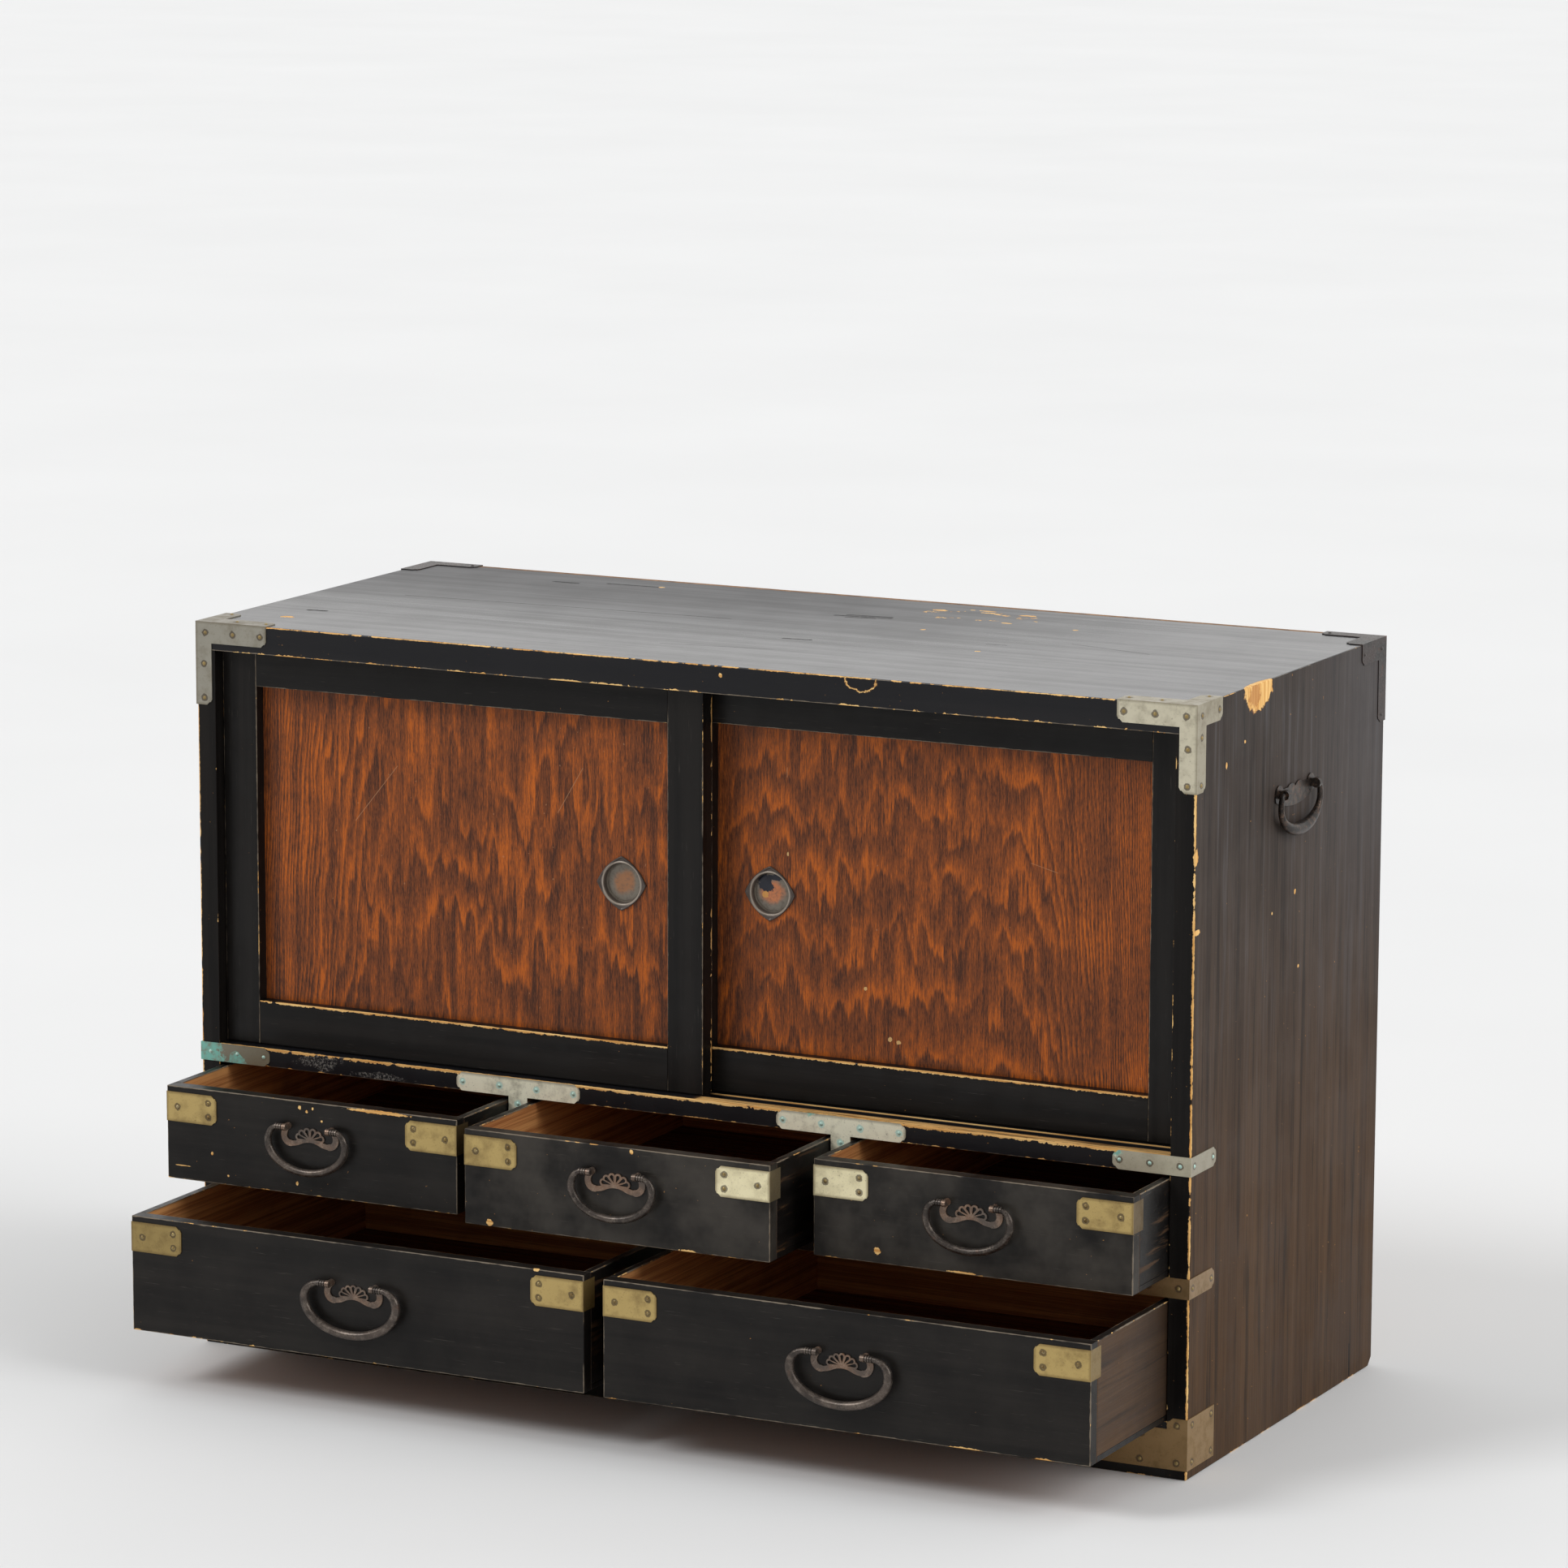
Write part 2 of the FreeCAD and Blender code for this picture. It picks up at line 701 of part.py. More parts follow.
def pull_outline(x, y, inset):
    """Four outward arcs that meet in points at the top, bottom, left and right."""
    wide, tall = pull_rim_half_width - inset, pull_rim_half_height - inset
    bulge = (pull_rim_bulge - inset) * math.sqrt(0.5)
    points = [Vector(x + wide, y, pull_height), Vector(x, y, pull_height + tall),
              Vector(x - wide, y, pull_height), Vector(x, y, pull_height - tall)]
    middles = [Vector(x + side * bulge, y, pull_height + rise * bulge)
               for side, rise in ((1, 1), (-1, 1), (-1, -1), (1, -1))]
    arcs = [Part.Arc(points[number], middles[number], points[(number + 1) % 4]) for number in range(4)]
    return Part.Wire([arc.toShape() for arc in arcs])


def door_pull(x, face, rear):
    """The rim on the face of the panel and the cup that passes through it."""
    rim = slab(pull_outline(x, face, 0.0), pull_rim_thickness)
    lip = slab(pull_outline(x, face, 0.0), pull_rim_thickness + pull_lip_height)
    lip = lip.cut(slab(pull_outline(x, face + overrun, pull_lip_width),
                       pull_rim_thickness + pull_lip_height + 2 * overrun))
    cup = Part.makeCylinder(pull_cup_radius + pull_metal, rear - face, Vector(x, face, pull_height), Y)
    hollow = Part.makeCylinder(pull_cup_radius, overrun + rear - face - pull_metal,
                               Vector(x, face - overrun, pull_height), Y)
    return fused([rim, lip, cup]).cut(hollow)


def frame_member(x, y, z, tongues, tongue_y, rabbet):
    """A stile or rail of a door, with its tongues in the tracks and its rabbet for the panel."""
    pieces = [board(x, y, z)]
    pieces += [box((x[0] + arris_rounding, x[1] - arris_rounding), tongue_y, span) for span in tongues]
    return fused(pieces).cut(rabbet)


def door(x0, track, pull_x):
    """One framed sliding door: the four frame members, the panel and the pull."""
    x1 = x0 + door_width
    y = (track - door_thickness / 2, track + door_thickness / 2)
    z = (sill_top + door_floor_gap, top_under - door_head_gap)
    inner_x = (x0 + stile_width, x1 - stile_width)
    inner_z = (z[0] + door_bottom_rail_width, z[1] - door_top_rail_width)
    half_tongue = track_width / 2 - tongue_side_gap
    tongue_y = (track - half_tongue, track + half_tongue)
    low_tongue = (sill_top - lower_track_depth + tongue_floor_gap, z[0] + arris_rounding)
    high_tongue = (z[1] - arris_rounding, top_under + upper_tongue_height)
    panel_y = (y[1] - panel_thickness, y[1])
    rabbet = box((inner_x[0] - panel_rabbet, inner_x[1] + panel_rabbet), (panel_y[0], y[1] + overrun),
                 (inner_z[0] - panel_rabbet, inner_z[1] + panel_rabbet))
    frame = [frame_member((x0, inner_x[0]), y, z, (low_tongue, high_tongue), tongue_y, rabbet),
             frame_member((inner_x[1], x1), y, z, (low_tongue, high_tongue), tongue_y, rabbet),
             frame_member(inner_x, y, (z[0], inner_z[0]), (low_tongue,), tongue_y, rabbet),
             frame_member(inner_x, y, (inner_z[1], z[1]), (high_tongue,), tongue_y, rabbet)]
    edge = panel_rabbet - panel_gap
    panel = box((inner_x[0] - edge, inner_x[1] + edge), panel_y, (inner_z[0] - edge, inner_z[1] + edge))
    hole = Part.makeCylinder(pull_cup_radius + pull_metal + pull_hole_gap, panel_thickness + 2 * overrun,
                             Vector(pull_x, panel_y[0] - overrun, pull_height), Y)
    return group(frame), panel.cut(hole), door_pull(pull_x, panel_y[0], panel_y[1])


# Drawers

def drawer_plate(x1, face, top):
    """The right corner plate of a drawer: one leg on the front, one let into the side, and three nails."""
    low = top - drawer_plate_below_top - drawer_plate_height
    ahead = Surface(Vector(x1, face, low), -X, Z, -Y)
    beside = Surface(Vector(x1, face, low), Y, Z, -X)
    start, length, height = -sheet_thickness, drawer_plate_length, drawer_plate_height
    flat = ahead.sheet(strip_outline(0.0, length, height), sheet_thickness)
    turned = beside.sheet([(start, 0.0), (drawer_plate_return, 0.0),
                           (drawer_plate_return, height), (start, height)], sheet_thickness)
    nails = [ahead.nail(length * along, height * up) for along, up in drawer_nail_shares]
    return fused([flat, turned]), nails


def drawer(bay, floor, height, pulled, handle, petals, bail_below_top):
    """One drawer with its corner plates and handle, pulled out of its bay by the given amount."""
    x0, x1 = bay[0] + drawer_side_gap, bay[1] - drawer_side_gap
    middle = (x0 + x1) / 2
    z0 = floor + drawer_floor_gap
    z1 = z0 + height - drawer_head_gap
    face = front - pulled
    behind = face + drawer_front_thickness
    rear = face + drawer_length
    low = z0 + drawer_bottom_thickness
    half = (x1 - x0) / 2
    plate, nails = drawer_plate(half, face, z1)
    plates = [piece.translated(X * middle) for piece in (plate, mirrored(plate))]
    nails = [piece.translated(X * middle) for nail in nails for piece in (nail, mirrored(nail))]
    sides = [board((x0, x0 + drawer_side_thickness), (behind, rear), (low, z1)),
             board((x1 - drawer_side_thickness, x1), (behind, rear), (low, z1))]
    rear_board = board((x0 + drawer_side_thickness, x1 - drawer_side_thickness),
                       (rear - drawer_back_thickness, rear), (low, z1))
    axis_z = z1 - bail_below_top
    return {
        "front": board((x0, x1), (face, behind), (z0, z1)).cut(plates),
        "box": group([side.cut(plates) for side in sides] + [rear_board]),
        "bottom": board((x0, x1), (behind, rear), (z0, low)),
        "plates": group(plates + nails),
        "handle_plate": drawer_handle_plate(handle, petals).translated(Vector(middle, face, axis_z)),
        "bail": bail(handle).translated(Vector(middle, face - handle.lift, axis_z)),
    }


# The whole chest

door_width = (2 * inner_half + door_overlap) / 2 - door_side_gap
bottom_board_bottom = bottom_rail_height - bottom_board_thickness
right_side = side_board()

nodes = {
    "top_board": top_board(),
    "side_board_right": right_side,
    "side_board_left": mirrored(right_side),
    "back_boards": back_boards(),
    "bottom_board": crossing((front + bottom_rail_thickness, back_inner),
                             (bottom_board_bottom, bottom_rail_height)),
    "bottom_rail": crossing((front, front + bottom_rail_thickness), (0.0, bottom_rail_height)),
    "base_battens": base_battens(),
    "lower_divider": dividers(lower_bay_count, bottom_rail_height, lower_bay_top, middle_rail_depth,
                              middle_rail_top - dust_board_thickness),
    "middle_rail": crossing((front, front + middle_rail_depth), (lower_bay_top, middle_rail_top)),
    "dust_board": crossing((front + middle_rail_depth, back_inner),
                           (middle_rail_top - dust_board_thickness, middle_rail_top)),
    "upper_dividers": dividers(upper_bay_count, middle_rail_top, sill_bottom, sill_depth,
                               sill_top - cupboard_floor_thickness),
    "door_sill": sill(),
    "cupboard_floor": crossing((front + sill_depth, back_inner),
                               (sill_top - cupboard_floor_thickness, sill_top)),
}

case_nails = []
plate_nodes = {
    "top_corner_plates": [top_plate()],
    "back_corner_plates": [back_plate()],
    "bottom_corner_plates": [low_plate()],
    "end_straps": [end_strap(sill_bottom, sill_height), end_strap(lower_bay_top, middle_rail_height)],
}
for name, pairs in plate_nodes.items():
    plates = []
    for plate, nails in pairs:
        pair, all_nails = both_sides(plate, nails)
        plates += pair
        case_nails += all_nails
    nodes[name] = group(plates)

straps = []
for count, strap_z, height in ((upper_bay_count, sill_bottom, sill_height),
                               (lower_bay_count, lower_bay_top, middle_rail_height)):
    straps += [t_strap(middle, strap_z, height) for middle in divider_middles(count)]
nodes["t_straps"] = group([strap for strap, nails in straps])
case_nails += [nail for strap, nails in straps for nail in nails]
nodes["case_nails"] = group(case_nails)

side_handle = Handle(side_bail_width, side_bail_drop, side_rod_radius, side_shoulder_radius,
                     side_rod_end_radius, 0, side_post_offset, side_post_width, side_eye_radius,
                     side_pin_radius, side_standoff)
right_plate = hung_on_side(side_handle_plate(side_handle), 0.0)
right_bail = hung_on_side(bail(side_handle), side_handle.lift)
nodes["side_handle_plate_right"] = right_plate
nodes["side_handle_plate_left"] = mirrored(right_plate)
nodes["side_bail_right"] = right_bail
nodes["side_bail_left"] = mirrored(right_bail)

door_places = {"left": (-inner_half + door_side_gap, front_track, -pull_from_middle),
               "right": (inner_half - door_side_gap - door_width, rear_track, pull_from_middle)}
for side, place in door_places.items():
    frame, panel, pull = door(*place)
    nodes["door_" + side + "_frame"] = frame
    nodes["door_" + side + "_panel"] = panel
    nodes["door_" + side + "_pull"] = pull

upper_handle = drawer_handle(upper_bail_width, upper_bail_drop, upper_rod_radius)
lower_handle = drawer_handle(lower_bail_width, lower_bail_drop, lower_rod_radius)
rows = [(upper_pulled, upper_bay_count, middle_rail_top, upper_bay_height,
         upper_handle, upper_petals, upper_bail_below_top),
        (lower_pulled, lower_bay_count, bottom_rail_height, lower_bay_height,
         lower_handle, lower_petals, lower_bail_below_top)]
for pulled, count, floor, height, handle, petals, below_top in rows:
    for bay, (letter, amount) in zip(bays(count), pulled.items()):
        pieces = drawer(bay, floor, height, amount, handle, petals, below_top)
        for piece, shape in pieces.items():
            nodes["drawer_" + letter + "_" + piece] = shape

os.makedirs("parts", exist_ok=True)
for name, shape in nodes.items():
    shape.exportStep(os.path.join("parts", name + ".step"))
    print(name, len(shape.Solids), "solids,", round(shape.Volume), "mm3,",
          "valid" if shape.isValid() else "NOT VALID")
print(len(nodes), "nodes")
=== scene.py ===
import bpy
import itertools
import math
from collections import namedtuple
from mathutils import Matrix, Vector
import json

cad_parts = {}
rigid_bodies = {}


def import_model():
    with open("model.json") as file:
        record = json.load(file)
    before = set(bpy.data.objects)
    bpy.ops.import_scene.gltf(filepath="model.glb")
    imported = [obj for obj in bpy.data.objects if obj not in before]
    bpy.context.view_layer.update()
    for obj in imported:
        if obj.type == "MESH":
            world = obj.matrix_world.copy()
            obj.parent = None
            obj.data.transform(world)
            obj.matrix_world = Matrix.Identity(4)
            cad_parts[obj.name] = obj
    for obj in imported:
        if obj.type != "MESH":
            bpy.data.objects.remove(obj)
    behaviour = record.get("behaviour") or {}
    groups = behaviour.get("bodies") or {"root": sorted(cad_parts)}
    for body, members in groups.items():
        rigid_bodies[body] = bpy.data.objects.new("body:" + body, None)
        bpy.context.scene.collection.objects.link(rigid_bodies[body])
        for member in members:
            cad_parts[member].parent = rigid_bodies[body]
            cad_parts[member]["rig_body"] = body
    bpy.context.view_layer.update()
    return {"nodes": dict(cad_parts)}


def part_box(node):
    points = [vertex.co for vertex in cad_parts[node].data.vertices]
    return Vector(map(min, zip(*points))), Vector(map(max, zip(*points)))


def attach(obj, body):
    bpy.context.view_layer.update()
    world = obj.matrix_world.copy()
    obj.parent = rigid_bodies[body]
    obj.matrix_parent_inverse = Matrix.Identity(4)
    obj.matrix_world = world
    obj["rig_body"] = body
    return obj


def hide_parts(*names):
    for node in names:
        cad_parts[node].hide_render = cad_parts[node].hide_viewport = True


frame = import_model()
nodes = frame["nodes"]

# Lengths are in millimetres, also inside the materials; MM turns them into Blender's metres
MM = 0.001

# The photograph's camera, as fitted on the case's edges; angles are in degrees
CAMERA_PLACE = (2479, -4892.5, 1498.5)
CAMERA_AZIMUTH = 26.9
CAMERA_ELEVATION = 10.25
CAMERA_ROLL = 0.177
SENSOR_WIDTH = 36
FOCAL_LENGTH = 148.29
CAMERA_SIGHT = 200  # in metres

# Half the case's width, its front plane and its top, from the frame
right_board_low, right_board_high = (tuple(value / MM for value in corner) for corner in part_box("side_board_right"))
case_side = right_board_high[0]
case_front = right_board_low[1]
case_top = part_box("top_board")[1][2] / MM

# Lacquer and wood, in 8-bit sRGB
BLACK = (17, 15, 14)
BLACK_LIT = (28, 25, 23)
BLUE_BLACK = (24, 25, 31)
DUST = (104, 98, 90)
TOP_DARK = (38, 38, 41)
TOP_LIGHT = (66, 67, 71)
SIDE_GREY_DARK = (42, 35, 32)
SIDE_GREY = (66, 57, 51)
SIDE_BROWN_DARK = (53, 36, 23)
SIDE_BROWN = (82, 59, 37)
SIDE_SHEEN_GREY = (88, 86, 88)
BARE_PALE = (244, 204, 136)
BARE_DEEP = (206, 148, 78)
RUBBED = (132, 120, 104)
SCUFF = (150, 146, 140)
BARE_RIM = (70, 48, 32)
PANEL_DARK = (68, 39, 26)
PANEL_MID = (124, 66, 32)
PANEL_BRIGHT = (194, 99, 28)
PANEL_SCRATCH = (176, 128, 92)
INSIDE_PALE = (222, 160, 98)
INSIDE_DEEP = (168, 106, 60)
BOTTOM_PALE = (156, 100, 56)
BOTTOM_DEEP = (108, 66, 36)
RAW_PALE = (150, 112, 76)
RAW_DEEP = (100, 72, 48)

# Metals, in 8-bit sRGB
SIDE_IRON = (34, 31, 29)
REAR_BROWN = (56, 42, 38)
IRON_DARK = (60, 54, 50)
IRON_BROWN = (90, 80, 73)
IRON_TAN = (124, 98, 80)
IRON_WORN = (176, 164, 150)
RUST = (150, 84, 40)
BRASS_DULL = (150, 128, 76)
BRASS_PLAIN = (182, 157, 98)
BRASS_PALE = (236, 226, 186)
BRASS_STAIN = (104, 82, 44)
SILVER_FACE = (204, 197, 174)
SILVER_DULL = (150, 146, 134)
SILVER_STAIN = (112, 102, 82)
STRAP_GREY = (126, 124, 108)
BOTTOM_FACE = (184, 148, 100)
PALE_FACE = (236, 232, 208)
WHITE_FACE = (250, 250, 242)
BROWNED_FACE = (166, 134, 98)
VERDIGRIS = (120, 182, 168)
VERDIGRIS_PALE = (178, 216, 206)
COPPER = (190, 118, 76)
CUP_RUST = (150, 104, 70)
CUP_GREY = (118, 110, 98)
CUP_SHADOW_BLUE = (34, 36, 46)
PULL_GREY = (84, 74, 68)
HALO = (70, 56, 40)


def linear(colour):
    """An sRGB colour as the renderer's linear RGBA."""
    channels = [value / 255 for value in colour]
    return tuple(c / 12.92 if c <= 0.04045 else ((c + 0.055) / 1.055) ** 2.4 for c in channels) + (1,)


class Term:
    """A number that a material works out at each point, for sums written in the usual way."""

    def __init__(self, graph, socket):
        self.graph = graph
        self.socket = socket

    def __add__(self, other):
        return self.graph.math("ADD", self, other)

    def __sub__(self, other):
        return self.graph.math("SUBTRACT", self, other)

    def __rsub__(self, other):
        return self.graph.math("SUBTRACT", other, self)

    def __mul__(self, other):
        return self.graph.math("MULTIPLY", self, other)

    def __truediv__(self, other):
        return self.graph.math("DIVIDE", self, other)

    def __abs__(self):
        return self.graph.math("ABSOLUTE", self)


class Graph:
    """A material's node tree, with short calls for the nodes it needs. Places are in millimetres."""

    def __init__(self, name, offset=(0, 0, 0)):
        self.material = bpy.data.materials.new(name)
        self.material.use_nodes = True
        self.nodes = self.material.node_tree.nodes
        self.links = self.material.node_tree.links
        self.nodes.clear()
        metres = self.nodes.new("ShaderNodeTexCoord").outputs["Object"]
        self.place = self.vector("MULTIPLY", metres, (1 / MM,) * 3)
        self.moved = self.vector("ADD", self.place, offset)
        parts = self.nodes.new("ShaderNodeSeparateXYZ")
        self.feed(parts.inputs[0], self.place)
        self.along = [Term(self, socket) for socket in parts.outputs]
        self.x, self.y, self.z = self.along

    def feed(self, socket, value):
        """Links a socket to another, or sets its value; a colour is given in 8-bit sRGB."""
        value = getattr(value, "socket", value)
        if isinstance(value, bpy.types.NodeSocket):
            self.links.new(value, socket)
        elif socket.type == "RGBA":
            socket.default_value = linear(value)
        else:
            socket.default_value = value

    def math(self, operation, first, second=0):
        node = self.nodes.new("ShaderNodeMath")
        node.operation = operation
        self.feed(node.inputs[0], first)
        self.feed(node.inputs[1], second)
        return Term(self, node.outputs[0])

    def most(self, first, *others):
        for other in others:
            first = self.math("MAXIMUM", first, other)
        return first

    def least(self, first, *others):
        for other in others:
            first = self.math("MINIMUM", first, other)
        return first

    def vector(self, operation, first, second=(0, 0, 0)):
        node = self.nodes.new("ShaderNodeVectorMath")
        node.operation = operation
        self.feed(node.inputs[0], first)
        self.feed(node.inputs[1], second)
        return node.outputs["Value" if operation in ("LENGTH", "DOT_PRODUCT") else "Vector"]

    def size(self, vector):
        return Term(self, self.vector("LENGTH", vector))

    def noise(self, size, detail=2, rough=0.5):
        """Noise from 0 to 1; size is the size of its features, or one size for each axis."""
        sizes = size if isinstance(size, tuple) else (size,) * 3
        node = self.nodes.new("ShaderNodeTexNoise")
        self.feed(node.inputs["Vector"], self.vector("DIVIDE", self.moved, sizes))
        node.inputs["Scale"].default_value = 1
        node.inputs["Detail"].default_value = detail
        node.inputs["Roughness"].default_value = rough
        return Term(self, node.outputs["Fac"])

    def rise(self, value, low, high):
        """A smooth step from 0 at low to 1 at high; high may be the smaller."""
        node = self.nodes.new("ShaderNodeMapRange")
        node.interpolation_type = "SMOOTHSTEP"
        self.feed(node.inputs["Value"], value)
        self.feed(node.inputs["From Min"], low)
        self.feed(node.inputs["From Max"], high)
        return Term(self, node.outputs["Result"])

    def mix(self, share, first, second):
        node = self.nodes.new("ShaderNodeMix")
        node.data_type = "RGBA"
        colours = [socket for socket in node.inputs if socket.type == "RGBA"]
        self.feed(node.inputs[0], share)
        self.feed(colours[0], first)
        self.feed(colours[1], second)
        return [socket for socket in node.outputs if socket.type == "RGBA"][0]

    def between(self, share, low, high):
        """A number from low to high."""
        return share * (high - low) + low

    def finish(self, coat, depth, metallic=0, specular=0.5):
        """The finished material: the shader on a coat, with a bump of the given depth."""
        bump = self.nodes.new("ShaderNodeBump")
        bump.inputs["Strength"].default_value = 1
        bump.inputs["Distance"].default_value = depth * MM
        self.feed(bump.inputs["Height"], coat.height)
        shader = self.nodes.new("ShaderNodeBsdfPrincipled")
        self.feed(shader.inputs["Base Color"], coat.colour)
        self.feed(shader.inputs["Roughness"], coat.roughness)
        self.feed(shader.inputs["Metallic"], metallic)
        shader.inputs["Specular IOR Level"].default_value = specular
        self.links.new(bump.outputs[0], shader.inputs["Normal"])
        output = self.nodes.new("ShaderNodeOutputMaterial")
        self.links.new(shader.outputs[0], output.inputs["Surface"])
        return self.material


# A surface's colour, roughness and height as nodes, before the shader
Coat = namedtuple("Coat", "colour roughness height")

# Specular level and bump depth of each kind of surface
POLISHED_GLOSS = 0.5
BLUED_GLOSS = 0.22
LACQUER_GLOSS = 0.18
PANEL_GLOSS = 0.2
SIDE_GLOSS = 0.12
INSIDE_GLOSS = 0.25
RAW_GLOSS = 0.3
FLOOR_GLOSS = 0.2
LACQUER_RELIEF = 0.1
SIDE_RELIEF = 0.2
WOOD_RELIEF = 0.12
METAL_RELIEF = 0.15
FLOOR_RELIEF = 0.05

# How deep the outermost skin of a block reaches, from where it has faded out to where it is full
SKIN_INSIDE = 0.8
SKIN_OUTSIDE = 0.35


def grained(axis, along, across):
    """Feature sizes for a grain that runs along an axis."""
    return tuple(along if name == axis else across for name in "xyz")


def tinted(g, coat, share, colour):
    """A coat with its colour mixed towards another."""
    return coat._replace(colour=g.mix(share, coat.colour, colour))


def over(g, share, under, upper):
    """One coat where share is 0 and another where it is 1."""
    return Coat(g.mix(share, under.colour, upper.colour),
                upper.roughness * share + under.roughness * (1 - share),
                upper.height * share + under.height * (1 - share))


def at_face(g, axis, position, side):
    """1 on the outermost skin of a block at that face, and 0 inside it."""
    depth = (g.along["xyz".index(axis)] - position) * float(side)
    return g.rise(depth, -SKIN_INSIDE, -SKIN_OUTSIDE)


def with_axis(axis, pair, value):
    """The value on an axis, put in its place between the two on the other axes."""
    place = "xyz".index(axis)
    return pair[:place] + (value,) + pair[place:]


def marks_on(axis, position, reach, rows):
    """Single marks on a face across an axis, for spots(). A row has the middle's two other coordinates, then the
    half sizes along them; reach is the half size across the face."""
    return [(with_axis(axis, row[:2], position), with_axis(axis, row[2:], reach)) for row in rows]


def lines_on(axis, position, rows):
    """Strokes on a face across an axis, for lines(). A row has the start, the end and the half width."""
    return [(with_axis(axis, row[:2], position), with_axis(axis, row[2:4], position), row[4]) for row in rows]


def spots(g, marks, ragged=0.5, size=7):
    """Single marks, each given by its middle and its half sizes, with ragged outlines."""
    wobble = g.noise(size, 4, 0.65) * (2 * ragged) - ragged
    total = 0
    for middle, half_sizes in marks:
        away = g.vector("DIVIDE", g.vector("SUBTRACT", g.place, middle), half_sizes)
        total = g.most(total, wobble + 1 - g.size(away))
    return g.rise(total, 0, 0.12)


def lines(g, segments, ragged=0.5, size=5):
    """Scratches and cracks, each a start, an end and a half width, broken up along their length."""
    wobble = g.noise(size, 3, 0.7) * (2 * ragged) + (1 - ragged)
    total = 0
    for start, end, half_width in segments:
        run = Vector(end) - Vector(start)
        along = g.vector("DOT_PRODUCT", g.vector("SUBTRACT", g.place, start), tuple(run / run.length_squared))
        share = g.least(g.most(Term(g, along), 0), 1)
        scaled = g.nodes.new("ShaderNodeVectorMath")
        scaled.operation = "SCALE"
        g.feed(scaled.inputs[0], tuple(run))
        g.feed(scaled.inputs["Scale"], share)
        nearest = g.vector("ADD", scaled.outputs[0], start)
        distance = g.size(g.vector("SUBTRACT", g.place, nearest))
        total = g.most(total, wobble - distance / half_width)
    return g.rise(total, 0, 0.3)


def from_arris(g, low, high, name):
    """The distance inward from an arris of a block. An arris is named by the axis it runs along and the ends
    (- or +) it has on the two other axes."""
    others = [number for number, axis in enumerate("xyz") if axis != name[0]]
    distances = [g.along[number] - low[number] if end == "-" else high[number] - g.along[number]
                 for number, end in zip(others, name[1:])]
    return g.most(*distances)


def bare_arrises(g, low, high, edges):
    """How bare the wood is along the named arrises of a block, from 0 to 1. Each arris has a width, and how much
    of its length is bare, from 0 to 1."""
    coarse = g.noise(45, 3, 0.6)
    medium = g.noise(7.5, 2, 0.6)
    fine = g.noise(1.4, 2, 0.6)
    ragged = fine * 0.9 + (medium * 1.3 - 0.4)
    ruling = medium * 0.45 + coarse * 0.55
    bareness = 0
    for name, (width, cover) in edges.items():
        distance = from_arris(g, low, high, name)
        gate = g.rise(ruling, 0.66 - 0.34 * cover, 0.74 - 0.3 * cover)
        bared = ragged * width * gate - distance
        bareness = g.most(bareness, g.rise(bared, -0.1, 0.25))
    return bareness


def rubbed(g, coat, low, high, names, width=0.8):
    """A coat with a thin greyed line along the named arrises, nearly unbroken."""
    medium = g.noise(9, 2, 0.6)
    coarse = g.noise(60, 3, 0.6)
    total = 0
    for name in names:
        total = g.most(total, g.rise(medium * (2 * width) - from_arris(g, low, high, name), 0, 0.35))
    return tinted(g, coat, total * g.rise(coarse, 0.36, 0.5) * 0.75, RUBBED)


def worn(g, coat, bareness, grain="x"):
    """A coat worn through to the wood, with a dark rim round each bare place."""
    fibre = g.rise(g.noise(grained(grain, 60, 1.8), 3, 0.7), 0.34, 0.66)
    timber = g.mix(fibre, BARE_PALE, BARE_DEEP)
    colour = g.mix(g.rise(bareness, 0, 0.4), coat.colour, BARE_RIM)
    colour = g.mix(g.rise(bareness, 0.4, 0.9), colour, timber)
    return Coat(colour, g.most(coat.roughness, bareness * 0.75), coat.height - bareness * 1.4)


# Coats of lacquer and wood

def black_coat(g, grain):
    """Thin near-black lacquer over open grain."""
    pores = g.noise(grained(grain, 60, 1.1), 3, 0.6)
    streaks = g.noise(grained(grain, 420, 15), 4, 0.6)
    smudges = g.noise(24, 5, 0.7)
    hairs = g.rise(g.noise(grained(grain, 26, 0.9), 2, 0.7), 0.66, 0.8)
    specks = g.rise(g.noise(2.4, 1, 0.4), 0.8, 0.83)
    colour = g.mix(g.rise(streaks, 0.35, 0.65), BLACK, BLACK_LIT)
    colour = g.mix(hairs * 0.3, colour, DUST)
    colour = g.mix(specks * 0.5, colour, BARE_DEEP)
    roughness = g.between(g.rise(smudges, 0.35, 0.65), 0.3, 0.44)
    return Coat(colour, roughness, pores * 0.5 + smudges * 0.3)


def blued_coat(g):
    """The colder, bluer black of some boards; their grain runs along X."""
    return tinted(g, black_coat(g, "x"), 0.5, BLUE_BLACK)


